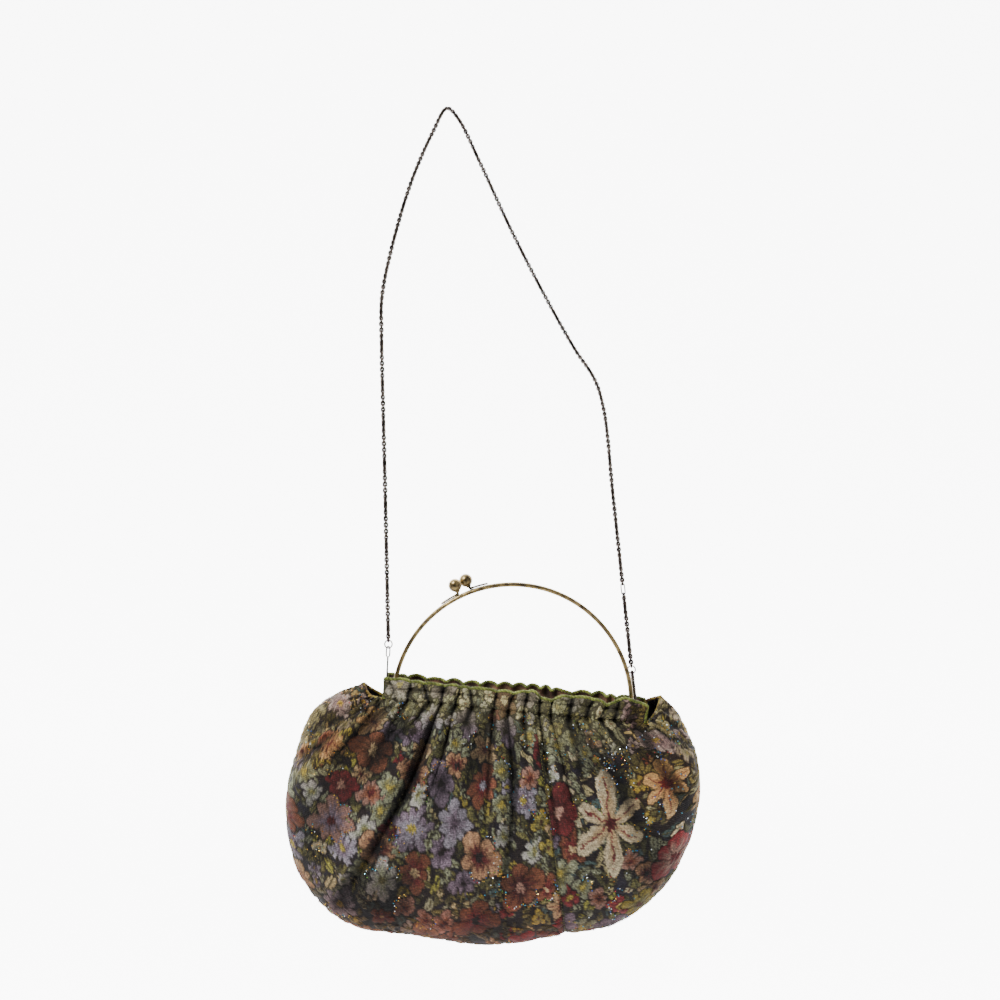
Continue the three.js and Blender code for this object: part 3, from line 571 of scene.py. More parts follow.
BACK_HEROES = [
    (-112, -104, 42, 6, "cream sand burgundy", 0.1, 0.76, 1.25, "wine"),
    (40, -140, 22, 5, "tan burgundy ground", 0.2, 0.3, 1),
    (-20, -92, 20, 6, "rust wine lilac", 0.8, 0.34, 1),
    (104, -96, 22, 12, "mauve lilac yellow", 0.2, 0.4, 0.6),
    (-4, -206, 22, 5, "rust burgundy rose", 0.5, 0.3, 1),
    (-70, -186, 20, 6, "lilac mauve purple", 0.4, 0.34, 0.8),
    (142, -176, 38, 6, "cream sand burgundy", 0.6, 0.72, 1.2, "burgundy"),
    (-180, -154, 21, 7, "rose mauve burgundy", 0.8, 0.36, 0.9),
    (76, -226, 20, 6, "crimson wine rose", 0.8, 0.36, 0.9),
]
GREENS = "olive sage moss sage olive sage lime moss teal straw".split()
FLAT_SPAN = ((-300.0, 320.0), (-310.0, 50.0))


def paint_tapestry(x, z, side, heroes):
    """Leaves first, then small and middle blooms, then the large ones on top."""
    cloth = Tapestry(x, z, side["seed"])
    rng = cloth.rng

    def anywhere():
        return [rng.uniform(*span) for span in FLAT_SPAN]

    for _ in range(LEAVES):
        cloth.leaf(*anywhere(), rng.uniform(12, 28), rng.uniform(6, 11),
                   rng.uniform(0, 2 * math.pi), GREENS[rng.integers(len(GREENS))])
    chances = np.array([bloom[7] for bloom in BLOOMS], float)
    placed = [(hero[0], hero[1], hero[2] * 0.92) for hero in heroes]
    for turn in range(BLOOM_TRIES):
        low, high, petals, yarns, slim, point, streak, _, warm = BLOOMS[
            rng.choice(len(BLOOMS), p=chances / chances.sum())]
        cx, cz = anywhere()
        lean = 0.5 + 0.35 * warm * math.tanh(-(cz + 120) / 60 + cx / 220)
        radius = rng.uniform(low, high) * (1.08 if turn < 1700 else 0.75)
        if rng.random() > lean or cz > -34 and warm > 0 and rng.random() < 0.6:
            continue
        if any(math.hypot(cx - a, cz - b) < 0.72 * (radius + c) for a, b, c in placed):
            continue
        placed.append((cx, cz, radius))
        cloth.flower(cx, cz, radius, petals, yarns, rng.uniform(0, 6), slim, point, streak)
    for _ in range(SPRAYS):
        cx, cz = anywhere()
        if all(math.hypot(cx - a, cz - b) > 0.8 * c for a, b, c in placed):
            cloth.spray(cx, cz, rng.uniform(8, 14), GREENS[rng.integers(6)])
    for hero in heroes:
        cloth.flower(*hero)
    shade = (1 + 0.3 * value_noise(cloth.x, cloth.z * 3, 2.2, side["seed"] + 8)
             + 0.2 * value_noise(cloth.x, cloth.z, 16, side["seed"] + 9)
             + rng.normal(0, 0.09, len(cloth.x)))
    cloth.colour *= shade[:, None]
    # Redder and darker towards the foot, the darkening being painted shade; browner in the ears,
    # and greener under the header
    grey = cloth.colour.mean(axis=1, keepdims=True)
    low = smooth((-cloth.z - 150) / 90)[:, None]
    ear = (smooth((np.abs(cloth.x) - 160) / 30) * smooth((cloth.z + 120) / 60))[:, None]
    high = smooth((cloth.z + 45) / 40)[:, None] * (1 - 0.9 * ear)
    cloth.colour *= 1 + ear * (0.2, -0.04, -0.32)
    # Painted shade towards the foot: much darker there, with a redder tone
    cloth.colour *= 1 + low * (-0.4, -0.66, -0.74)
    cloth.colour += high * 0.55 * (grey * (1.08, 1.0, 0.5) * 1.1 - cloth.colour)
    cloth.colour += high * 0.035 * (1.0, 0.92, 0.42)
    return cloth


# Meshes

def new_mesh(name, shape, material, replaced=None, yarn=None, flat=None, world=False,
             facets=False):
    """A piece from points and faces in millimetres, in the bag's frame or the part's."""
    points = np.reshape(shape[0], (-1, 3))
    mesh = bpy.data.meshes.new(name)
    mesh.from_pydata((points * MM if world else to_scene(points)).tolist(), [], shape[1])
    if yarn is not None:
        rgba = np.hstack([np.reshape(yarn, (-1, 3)), np.ones((len(points), 1))])
        mesh.color_attributes.new("yarn", "FLOAT_COLOR", "POINT").data.foreach_set(
            "color", rgba.ravel())
    if flat is not None:
        places = np.hstack([np.reshape(flat, (-1, 2)) * MM, np.zeros((len(points), 1))])
        mesh.attributes.new("flat", "FLOAT_VECTOR", "POINT").data.foreach_set(
            "vector", places.ravel())
    if not facets:
        mesh.shade_smooth()
    mesh.materials.append(material)
    piece = bpy.data.objects.new(name, mesh)
    bpy.context.scene.collection.objects.link(piece)
    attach(piece, "root")
    if replaced:
        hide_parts(replaced)
    return piece


def grid_faces(rows, columns, start=0, flip=False, closed=False):
    index = start + np.arange(rows * columns).reshape(rows, columns)
    right = np.roll(index, -1, axis=1) if closed else index[:, 1:]
    left = index if closed else index[:, :-1]
    a, b, c, d = left[:-1], right[:-1], right[1:], left[1:]
    quads = np.stack([a, d, c, b] if flip else [a, b, c, d], -1).reshape(-1, 4)
    return quads.tolist()


def frames_along(points, first=(0.0, 1.0, 0.0)):
    """A direction and two cross axes at each point of a path, turning as little as they can."""
    ahead = np.gradient(points, axis=0)
    ahead /= np.linalg.norm(ahead, axis=1, keepdims=True)
    side = np.array(first, float)
    if np.linalg.norm(np.cross(ahead[0], side)) < 0.1:
        side = np.array((1.0, 0.0, 0.0))
    sides = []
    for heading in ahead:
        side = unit(side - heading * np.dot(side, heading))
        sides.append(side)
    sides = np.array(sides)
    return ahead, sides, np.cross(ahead, sides)


def sweep(points, wide, thick, sides=16, first=(0.0, 1.0, 0.0), swell=None):
    """A rod along a path: half width along the first cross axis and half thickness across it."""
    points = np.asarray(points, float)
    _, across, up = frames_along(points, first)
    turn = np.linspace(0, 2 * math.pi, sides, endpoint=False)
    a, b = (wave * np.broadcast_to(half, len(points))[:, None]
            for wave, half in ((np.cos(turn), wide), (np.sin(turn), thick)))
    if swell is not None:
        factor = swell(lengths(points)[:, None], turn[None])
        a, b = a * factor, b * factor
    verts = points[:, None] + a[..., None] * across[:, None] + b[..., None] * up[:, None]
    last = (len(points) - 1) * sides
    faces = grid_faces(len(points), sides, closed=True)
    faces += [list(range(sides))[::-1], [last + k for k in range(sides)]]
    return verts.reshape(-1, 3), faces


def join_parts(parts):
    verts, faces, start = [], [], 0
    for points, polygons in parts:
        verts.append(points)
        faces += [[start + k for k in face] for face in polygons]
        start += len(points)
    return np.concatenate(verts), faces


# Shaders

class Shader:
    """A new material, and short ways to build its nodes."""

    def __init__(self, name):
        self.material = bpy.data.materials.new(name)
        self.material.use_nodes = True

    def put(self, socket, value):
        """Link a socket to another, or set it to a number or a colour."""
        if isinstance(value, bpy.types.NodeSocket):
            self.material.node_tree.links.new(value, socket)
        else:
            socket.default_value = (*value, 1) if isinstance(value, tuple) else value

    def add(self, kind, *values, **settings):
        """A node with its first inputs, and then named inputs and settings."""
        node = self.material.node_tree.nodes.new("ShaderNode" + kind)
        for key, value in settings.items():
            if key in node.inputs:
                self.put(node.inputs[key], value)
            else:
                setattr(node, key, value)
        for socket, value in zip(node.inputs, values):
            self.put(socket, value)
        return node

    def attribute(self, name, kind):
        return self.add("Attribute", attribute_name=name).outputs[kind]

    def texture(self, kind, place, scale, **settings):
        return self.add("Tex" + kind, Vector=place, Scale=scale, **settings).outputs["Fac"]

    def level(self, value, from_low, from_high, to_low, to_high):
        return self.add("MapRange", value, from_low, from_high, to_low, to_high).outputs["Result"]

    def times(self, a, b):
        return self.add("Math", a, b, operation="MULTIPLY").outputs[0]

    def mix(self, share, a, b, blend="MIX"):
        node = self.add("Mix", share, data_type="RGBA", blend_type=blend)
        self.put(node.inputs[6], a)
        self.put(node.inputs[7], b)
        return node.outputs[2]

    def shaded(self, level):
        """The painted yarn colours, made darker or lighter."""
        grey = self.add("CombineColor", level, level, level).outputs["Color"]
        return self.mix(1.0, self.attribute("yarn", "Color"), grey, "MULTIPLY")

    def bump(self, height, distance, strength, **normal):
        return self.add("Bump", Height=height, Distance=distance, Strength=strength,
                        **normal).outputs["Normal"]

    def finished(self, **values):
        """Fill in the surface's inputs, named with an underscore for each space."""
        surface = self.material.node_tree.nodes["Principled BSDF"]
        for key, value in values.items():
            self.put(surface.inputs[key.replace("_", " ")], value)
        return self.material


def weave_material(name, ribs_scale, picks_scale, depth, sheen, contrast):
    """Painted yarns broken up by the ribs and picks of a weave, with bump and sheen."""
    shader = Shader(name)
    flat = shader.attribute("flat", "Vector")
    ribs = shader.texture("Wave", flat, ribs_scale, Distortion=0.7, bands_direction="X")
    picks = shader.texture("Wave", flat, picks_scale, Distortion=0.9, bands_direction="Y")
    fleck = shader.texture("Noise", flat, 620.0, Detail=3.0)
    cloud = shader.texture("Noise", flat, 40.0, Detail=3.0)
    weave = shader.times(ribs, picks)
    shade = shader.level(weave, 0.0, 1.0, 1 - 0.3 * contrast, 1 + 0.3 * contrast)
    flecks = shader.level(fleck, 0.25, 0.75, 1 - 0.5 * contrast, 1 + 0.5 * contrast)
    level = shader.times(shader.times(shade, flecks), shader.level(cloud, 0.3, 0.7, 0.85, 1.12))
    normal = shader.bump(fleck, depth, 0.6)
    return shader.finished(
        Base_Color=shader.shaded(level), Roughness=shader.level(fleck, 0.2, 0.8, 0.7, 0.95),
        Sheen_Weight=sheen, Specular_IOR_Level=0.2,
        Normal=shader.bump(weave, depth * 0.7, 0.8, Normal=normal))


def satin_material():
    """Dark lining satin with fine creases, its colour darker in their hollows as painted shade."""
    shader = Shader("satin")
    flat = shader.attribute("flat", "Vector")
    crumple = shader.texture("Noise", flat, 70.0, Detail=4.0)
    thread = shader.texture("Wave", flat, 900.0, Distortion=1.0, bands_direction="Y")
    # Painted shade: the colour is darker where the crumples dip
    share = shader.level(crumple, 0.35, 0.65, 0.0, 1.0)
    normal = shader.bump(thread, 0.0001, 0.4)
    return shader.finished(
        Base_Color=shader.mix(share, (0.006, 0.006, 0.011), (0.022, 0.021, 0.034)),
        Roughness=0.42, Sheen_Weight=0.15, Normal=shader.bump(crumple, 0.004, 0.5, Normal=normal))


def metal_material(name, light, dark, roughness):
    """Metal with dark patina in blotches and brighter worn places."""
    shader = Shader(name)
    place = shader.add("TexCoord").outputs["Object"]
    blotch = shader.texture("Noise", place, 150.0, Detail=5.0)
    grain = shader.texture("Noise", place, 1500.0, Detail=2.0)
    return shader.finished(
        Base_Color=shader.mix(shader.level(blotch, 0.35, 0.62, 0.0, 1.0), dark, light),
        Metallic=1.0, Roughness=shader.level(grain, 0.3, 0.7, roughness, roughness + 0.2),
        Normal=shader.bump(grain, 0.0001, 0.5))


def bead_material():
    """Small faceted glass beads that glint in their own colours."""
    shader = Shader("beads")
    swirl = shader.texture("Noise", shader.add("TexCoord").outputs["Object"], 700.0, Detail=1.0)
    return shader.finished(Base_Color=shader.shaded(shader.level(swirl, 0.3, 0.7, 0.8, 1.25)),
                           Metallic=0.55, Roughness=0.13, Specular_IOR_Level=0.9)


TAPESTRY = weave_material("tapestry", 300.0, 200.0, 0.0009, 0.02, 1.25)
CORD = weave_material("piping", 260.0, 180.0, 0.0005, 0.05, 0.8)
SATIN = satin_material()
BRASS = metal_material("antique_brass", (0.26, 0.19, 0.082), (0.07, 0.052, 0.027), 0.24)
DARK_BRASS = metal_material("dark_brass", (0.13, 0.1, 0.045), (0.03, 0.023, 0.013), 0.3)
GUNMETAL = metal_material("gunmetal", (0.085, 0.068, 0.057), (0.02, 0.016, 0.014), 0.34)
BEADS = bead_material()


# Cloth pieces

def cloth_columns():
    ears = np.linspace(1, 2, EAR_COLUMNS + 1)[1:]
    return np.concatenate([-ears[::-1], np.linspace(-1, 1, CASING_COLUMNS + 1), ears])


def crevice(push, scale):
    """Shade for cloth that lies deep in a gather or fold."""
    return 0.2 + 0.85 * smooth((push + scale) / (1.6 * scale))


def weld(piece):
    shape = bmesh.new()
    shape.from_mesh(piece.data)
    bmesh.ops.remove_doubles(shape, verts=shape.verts, dist=1e-6)
    shape.to_mesh(piece.data)
    shape.free()


class Cloth:
    """One side of the bag: its outer face, painted, and the shapes that other pieces follow."""

    def __init__(self, side, heroes):
        self.side = side
        outward = side["outward"]
        q = cloth_columns()
        self.q, self.down = np.meshgrid(q, np.linspace(0, 1, BODY_ROWS))
        middle = bag_sheet(side, self.q, self.down)
        normal = grid_normals(middle, outward)
        x, z = flat_places(side, self.q, self.down, middle)
        push = creases(side, self.q, self.down)
        straight = np.zeros_like(normal)
        straight[..., 1] = outward
        turn = smooth(self.down * 4)[..., None]
        heading = straight * (1 - turn) + normal * turn
        self.middle, self.push, self.heading = middle, push, heading
        points = middle + normal * CLOTH / 2 + heading * push[..., None]

        casing = np.linspace(-1, 1, CASING_COLUMNS + 1)
        gx, share = np.meshgrid(casing, np.linspace(0, 1, HEADER_ROWS))
        outer = header_sheet(side, gx, share, True)
        within = slice(EAR_COLUMNS, len(q) - EAR_COLUMNS)
        ease = smooth(1 - share * 5)[..., None]
        outer += (points[0, within] - outer[0])[None] * ease
        header_x, header_z = across_seam(side, gx, casing_place(gx) * FULLNESS, outer[..., 2])

        painted = paint_tapestry(np.concatenate([x.ravel(), header_x.ravel()]),
                                 np.concatenate([z.ravel(), header_z.ravel()]), side, heroes)
        count = x.size
        relief = painted.relief[:count].reshape(x.shape) * smooth((1 - self.down) * 12)
        points = points + normal * relief[..., None]
        points[..., 1] = outward * np.maximum(outward * points[..., 1], GAP / 2)
        header_relief = painted.relief[count:].reshape(gx.shape)
        outer[..., 1] += outward * header_relief * smooth(share * 6) * 0.8
        outer[0] = points[0, within]

        body_yarn = painted.colour[:count].reshape(*x.shape, 3)
        body_yarn *= (0.35 + 0.65 * smooth((1 - self.down) * 50))[..., None]
        body_yarn *= crevice(push, 2.6)[..., None]
        wave = header_wave(side, gx, header_level(side, gx, share))
        header_yarn = painted.colour[count:].reshape(*gx.shape, 3)
        # Painted shade in the valleys of the header's pleats and painted light on their ridges
        header_yarn *= (0.07 + 1.5 * smooth((wave + 0.9) / 1.4))[..., None]
        stitch = np.exp(-((outer[..., 2] - CASING_HALF - 1.6) / 0.8) ** 2)
        header_yarn *= (1 - 0.45 * stitch)[..., None]
        self.points, self.normal, self.header = points, normal, outer
        self.flat = np.stack([x, z], -1)
        self.rims = painted.rims
        self.build(body_yarn, header_yarn, np.stack([header_x, header_z], -1))

    def build(self, body_yarn, header_yarn, header_flat):
        flip = self.side["outward"] > 0
        rows, columns = self.q.shape
        header_rows, header_columns = header_flat.shape[:2]
        body = grid_faces(rows, columns, 0, not flip)
        header = grid_faces(header_rows, header_columns, rows * columns, flip)
        verts = np.concatenate([self.points.reshape(-1, 3), self.header.reshape(-1, 3)])
        yarn = np.concatenate([body_yarn.reshape(-1, 3), header_yarn.reshape(-1, 3)])
        flat = np.concatenate([self.flat.reshape(-1, 2), header_flat.reshape(-1, 2)])
        name = self.side["name"]
        piece = new_mesh(f"{name}_cloth", (verts, body + header), TAPESTRY,
                         f"{name}_panel", yarn, flat)
        weld(piece)


def build_facing(cloth):
    """The inner face of header and casing, in the darker back of the weave."""
    side = cloth.side
    gx, share = np.meshgrid(np.linspace(-1, 1, CASING_COLUMNS // 2 + 1), np.linspace(0, 1, 14))
    inner = header_sheet(side, gx, share, False)
    flat = np.stack([casing_place(gx) * FULLNESS, inner[..., 2] * 1.2], -1)
    wave = header_wave(side, gx, header_level(side, gx, share))
    tone = value_noise(flat[..., 0], flat[..., 1], 7, side["seed"] + 12)
    share_tan = smooth(tone + 0.4)[..., None]
    yarn = YARN["brown"] * (1 - share_tan) + YARN["tan"] * share_tan
    # Painted shade in the hollows of the pleats on the inner face, and the whole facing made
    # darker
    yarn = yarn * (0.35 + 0.65 * smooth((1 - wave) / 1.6))[..., None] * 0.8
    faces = grid_faces(*gx.shape, 0, side["outward"] < 0)
    piece = new_mesh(f"{side['name']}_facing", (inner, faces), TAPESTRY,
                     yarn=yarn, flat=flat)


def build_lining(cloth):
    """The satin inside, which follows the folds a little less."""
    side = cloth.side
    rows, columns = slice(0, None, 3), slice(0, None, 2)
    middle, heading, normal, push, down = (
        grid[rows, columns]
        for grid in (cloth.middle, cloth.heading, cloth.normal, cloth.push, cloth.down))
    slack = 1.3 + 1.6 * smooth((1 - down) * 2)
    inward = np.minimum(push * 0.7, 1.0) - slack
    points = middle - normal * CLOTH / 2 + heading * inward[..., None]
    outward = side["outward"]
    points[..., 1] = outward * np.maximum(outward * points[..., 1], GAP / 2)
    faces = grid_faces(*down.shape, 0, outward < 0)
    piece = new_mesh(f"{side['name']}_satin", (points, faces), SATIN,
                     f"lining_{side['name']}", flat=cloth.flat[rows, columns])


def twisted(pitch, strands, depth):
    def swell(s, turn):
        return 1 + depth * np.cos(strands * turn - 2 * math.pi * s / pitch)
    return swell


def cord(path, radius, sides, pitch, strands, depth):
    """A twisted cord, and for each of its points the length there and the number around."""
    shape = sweep(path, radius, radius, sides, swell=twisted(pitch, strands, depth))
    return shape, np.repeat(lengths(path), sides), np.tile(np.arange(sides), len(path))


def build_piping(cloth):
    """Green cord along the header's edge and down both of its ends."""
    side = cloth.side
    name, outward = side["name"], side["outward"]
    x = np.linspace(-1, 1, CASING_COLUMNS + 1)
    one = np.ones_like(x)
    edge = (header_sheet(side, x, one, True) + header_sheet(side, x, one, False)) / 2
    top = edge + np.array((0, 0, PIPING / 2 - PIPING_SEAT))
    foot = -CASING_DROP + 1.5
    ends = [[(end[0] - way * 0.8, outward * (END_SETBACK + 0.6), z) for z in (foot, 0.5, 6.0)]
            + [tuple(end + (-way * 0.8, 0, -0.6))] for end, way in ((top[0], -1), (top[-1], 1))]
    path = np.vstack([ends[0], top[2:-2], ends[1][::-1]])
    curve = catmull(path, 4)
    path = at_length(curve, np.arange(0, lengths(curve)[-1], 0.55))
    shape, s, around = cord(path, PIPING / 2, 12, CORD_LAY, CORD_STRANDS, 0.09)
    tone = value_noise(s, around * 0.4, 5.0, side["seed"] + 20)
    fine = value_noise(s, around * 1.3, 1.1, side["seed"] + 21)
    share = smooth(0.5 + 0.7 * tone)[:, None]
    yarn = linear("5c6428") * (1 - share) + linear("8d9646") * share
    # Painted shade in the grooves between the twisted strands and painted light on their crowns
    dark = twisted(CORD_LAY, CORD_STRANDS, 1.0)(s, around * math.pi / 6)
    yarn = yarn * ((0.85 + 0.35 * fine) * (0.55 + 0.25 * dark))[:, None]
    new_mesh(f"{name}_piping", shape, CORD, f"piping_{name}", yarn,
             np.stack([s, around * 0.8], -1))


def build_hems(cloth):
    """Rolled edges of the two side slits, with a yellow-green overcast."""
    side = cloth.side
    parts, yarns, flats = [], [], []
    first, last = EAR_COLUMNS, cloth.q.shape[1] - 1 - EAR_COLUMNS
    for columns in (slice(first, None, -1), slice(last, None)):
        edge = cloth.middle[0, columns] + cloth.heading[0, columns] * cloth.push[0, columns, None]
        path = at_length(edge, np.arange(0, lengths(edge)[-1], 0.6))
        shape, s, around = cord(path, 1.5, 10, 2.2, 1, 0.16)
        share = smooth(0.5 + value_noise(s, around, 3.0, side["seed"] + 30))[:, None]
        parts.append(shape)
        yarns.append(YARN["yellow"] * share + YARN["brown"] * (1 - share))
        flats.append(np.stack([s, around * 0.9], -1))
    new_mesh(f"{side['name']}_hems", join_parts(parts), CORD,
             yarn=np.concatenate(yarns), flat=np.concatenate(flats))


def build_stitches(cloth):
    """Short stitches along the seam that joins the two front panels."""
    column = int(np.argmin(np.abs(cloth.q[0] - FRONT_SEAM)))
    line = cloth.points[:, column] + cloth.normal[:, column] * 0.35
    parts = []
    for start in np.arange(4, lengths(line)[-1] - 4, 3.2):
        s = np.linspace(start, start + 2.1, 5)
        thick = 0.34 * np.sin(np.linspace(0.35, math.pi - 0.35, 5))
        parts.append(sweep(at_length(line, s), thick, thick, 6, first=(1.0, 0.0, 0.0)))
    verts, faces = join_parts(parts)
    yarn = np.tile(YARN["olive"] * 0.8, (len(verts), 1))
    new_mesh("seam_stitches", (verts, faces), CORD, yarn=yarn, flat=verts[:, [0, 2]])


# Glass colours of the beads, and how common each is on the left, in the middle and on the right
BEAD_TONES = np.array([linear(code) for code in (
    "c9a24a", "b0702c", "3c8aa0", "4668b0", "dfe6ea", "a8343a", "6f9a4a")])
BEAD_CHANCES = {
    "left": (0.45, 0.25, 0.08, 0.02, 0.10, 0.05, 0.05),
    "middle": (0.28, 0.14, 0.14, 0.08, 0.26, 0.05, 0.05),
    "right": (0.10, 0.05, 0.35, 0.25, 0.20, 0.03, 0.02),
}


def bead_shape():
    """A small faceted ball with a flat top and foot."""
    verts = []
    for height, radius in ((-0.7, 0.6), (0, 1.0), (0.7, 0.6)):
        verts += [(radius * math.cos(a), radius * math.sin(a), height)
                  for a in np.linspace(0, 2 * math.pi, 6, endpoint=False) + height]
    faces = grid_faces(3, 6, closed=True) + [[5, 4, 3, 2, 1, 0], [12, 13, 14, 15, 16, 17]]
    return np.array(verts), faces


def bead_spots(cloth, count, rng):
    """Places on the flat cloth: strings along the rims of blooms, and single ones between."""
    spots = []
    rims = [rim for rim in cloth.rims if rim[2] > 7]
    for pick in rng.permutation(len(rims))[:46]:
        cx, cz, radius, petals, turn, slim, point = rims[pick]
        start = rng.uniform(0, 2 * math.pi)
        for angle in np.arange(start, start + rng.uniform(1.2, 3.6), 2.6 / radius):
            lobe = abs(math.cos(petals * (angle - turn) / 2))
            bound = radius * ((1 - slim) + slim * lobe ** point) + rng.uniform(-0.4, 0.6)
            spots.append((cx + bound * math.cos(angle), cz + bound * math.sin(angle)))
    flat = cloth.flat.reshape(-1, 2)
    centres = flat[rng.choice(len(flat), 34, replace=False)]
    loose = max(count - len(spots), 1)
    spread = centres[rng.integers(34, size=loose)] + rng.normal(0, 9, (loose, 2))
    return np.concatenate([np.array(spots), spread])[:count]


def build_beads(cloth):
    """Seed beads sewn on the cloth."""
    side = cloth.side
    rng = np.random.default_rng(side["seed"] + 40)
    flat = cloth.flat.reshape(-1, 2)
    points, normals = cloth.points.reshape(-1, 3), cloth.normal.reshape(-1, 3)
    shape, polygons = bead_shape()
    parts, yarns = [], []
    for spot in bead_spots(cloth, side["beads"], rng):
        gap = np.hypot(flat[:, 0] - spot[0], flat[:, 1] - spot[1])
        nearest = int(np.argmin(gap))
        if gap[nearest] > 2 or nearest < 4 * cloth.q.shape[1]:
            continue
        zone = "left" if spot[0] < -70 else "right" if spot[0] > 190 else "middle"
        tone = BEAD_TONES[rng.choice(len(BEAD_TONES), p=BEAD_CHANCES[zone])]
        up = unit(normals[nearest] + rng.normal(0, 0.25, 3))
        axes = axes_about(up, np.cross(up, rng.normal(0, 1, 3)))
        size = rng.uniform(0.5, 0.68)
        parts.append((points[nearest] + normals[nearest] * 0.4 + (shape * size) @ axes, polygons))
        yarns.append(np.tile(tone * rng.uniform(0.7, 1.2), (len(shape), 1)))
    new_mesh(f"{side['name']}_beads", join_parts(parts), BEADS,
             yarn=np.concatenate(yarns), facets=True)


# Metal pieces

def on_frame(degrees, radius, y):
    turn = np.radians(degrees)
    return np.stack([radius * np.cos(turn), np.full_like(turn, y), radius * np.sin(turn)], -1)


def capsule(start, end, wide, thick):
    """A flat bar with rounded ends between two points."""
    start, end = np.asarray(start, float), np.asarray(end, float)
    axis = unit(end - start)
    bend = np.linspace(-math.pi / 2, math.pi / 2, 15)
    near = start + axis * (np.sin(bend[:8]) * wide)[:, None]
    far = end + axis * (np.sin(bend[7:]) * wide)[:, None]
    size = np.concatenate([np.cos(bend[:8]), np.cos(bend[7:])]) * wide
    return sweep(np.vstack([near, far]), np.maximum(size, 0.05),
                 np.clip(size * 1.4, 0.05, thick), 14, first=(1.0, 0.0, 0.0))


def build_bow(side):
    """Half-round tube, its legs and tabs, and the straight rod soldered to it."""
    outward = side["outward"]
    y, rod_y = outward * BOW_SETBACK, outward * ROD_SETBACK
    arch = on_frame(np.linspace(180, 0, 150), FRAME_RADIUS, y)
    legs = [[(s * FRAME_RADIUS, y, z) for z in (-LEG_DROP, -LEG_DROP / 2)] for s in (-1, 1)]
    path = np.vstack([legs[0], arch, legs[1][::-1]])
    parts = [sweep(path, BOW_TUBE / 2, BOW_TUBE / 2, 20)]
    ends = [(s * (FRAME_RADIUS + ROD / 2), rod_y, 0) for s in (-1, 1)]
    parts.append(sweep(ends, ROD / 2, ROD / 2, 14))
    tab_y = outward * ((PLATE_THICK + TAB_THICK) / 2 + GAP)
    for s in (-1, 1):
        parts.append(sweep([(s * FRAME_RADIUS, y, 0), (s * FRAME_RADIUS, rod_y, 0)],
                           ROD / 2, ROD / 2, 14, first=(1.0, 0.0, 0.0)))
        parts.append(capsule((s * FRAME_RADIUS, tab_y, -HINGE_DROP),
                             (s * FRAME_RADIUS, tab_y, -LEG_DROP / 2), TAB_WIDE / 2,
                             TAB_THICK / 2))
    new_mesh(f"{side['name']}_bow", join_parts(parts), BRASS,
             f"bow_{side['name']}")


# Where the lock sits, in degrees from the right end of the rods
LOCKS = {
    "front": {"leaf_from": 131.0, "leaf_to": 122.5, "ball": 121.3},
    "back": {"leaf_from": 107.0, "leaf_to": 115.0, "ball": 116.3},
}


def ball_mesh(radius, rings=24, sides=40):
    polar = np.linspace(0.02, math.pi - 0.02, rings)
    around = np.linspace(0, 2 * math.pi, sides, endpoint=False)
    ring = np.stack([np.outer(np.sin(polar), np.cos(around)),
                     np.outer(np.sin(polar), np.sin(around)),
                     np.outer(np.cos(polar), np.ones(sides))], -1)
    faces = grid_faces(rings, sides, flip=True, closed=True)
    foot = [(rings - 1) * sides + k for k in range(sides)][::-1]
    return (ring * radius).reshape(-1, 3), faces + [list(range(sides)), foot]


def build_lock(side, lock):
    """A strip soldered on the bow, which bends up into the stem of its ball."""
    name, outward = side["name"], side["outward"]
    y = outward * BOW_SETBACK
    radius = FRAME_RADIUS + BOW_TUBE / 2 + GAP + LEAF_THICK * 0.75
    strip = on_frame(np.linspace(lock["leaf_from"], lock["leaf_to"], 14), radius, y)
    centre = on_frame(np.array([lock["ball"]]), FRAME_RADIUS + BOW_TUBE / 2 + BALL_RISE,
                      outward * BALL_SETBACK)[0]
    bend = strip[-1] + unit(strip[-1] - strip[-2]) * 1.2
    neck = bend + (centre - bend) * 0.5 + (strip[-1] - strip[-5]) * 0.05
    curve = catmull(np.vstack([strip[-2:], bend, neck, centre - (centre - neck) * 0.3]), 6)
    path = np.vstack([strip[:-2], curve])
    run = lengths(path) / lengths(path)[-1]
    taper = smooth(run / 0.06 + 0.25)
    stem = smooth((run - 0.55) / 0.14)
    wide = (LEAF_WIDE / 2 * (1 - stem) + STEM * 0.42 * stem) * taper
    thick = (LEAF_THICK * 0.75 * (1 - stem) + STEM * 0.42 * stem) * (0.5 + 0.5 * taper)
    new_mesh(f"{name}_lock_arm", sweep(path, wide, thick, 16), DARK_BRASS,
             f"lock_arm_{name}")
    axis = unit(centre - path[-4])
    turn = axes_about(axis, np.cross(axis, (0, 1, 0)))
    ball, ball_faces = ball_mesh(BALL / 2)
    cap = [centre - axis * (BALL / 2 + reach) for reach in (0.9, 0.5, 0.0, -0.5)]
    collar = sweep(cap, (1.5, 2.1, 2.4, 2.5), (1.5, 2.1, 2.4, 2.5), 20)
    new_mesh(f"{name}_lock_ball", join_parts([(ball @ turn + centre, ball_faces), collar]),
             BRASS, f"lock_ball_{name}")


def oval(wide, long, count=36):
    """Centre line of an oval link in its own plane: X across, Z along."""
    turn = np.linspace(0, 2 * math.pi, count, endpoint=False)
    stretch = (long - wide) / 2 * np.tanh(np.sin(turn) * 4)
    return np.stack([wide / 2 * np.cos(turn), np.zeros(count),
                     wide / 2 * np.sin(turn) + stretch], -1)


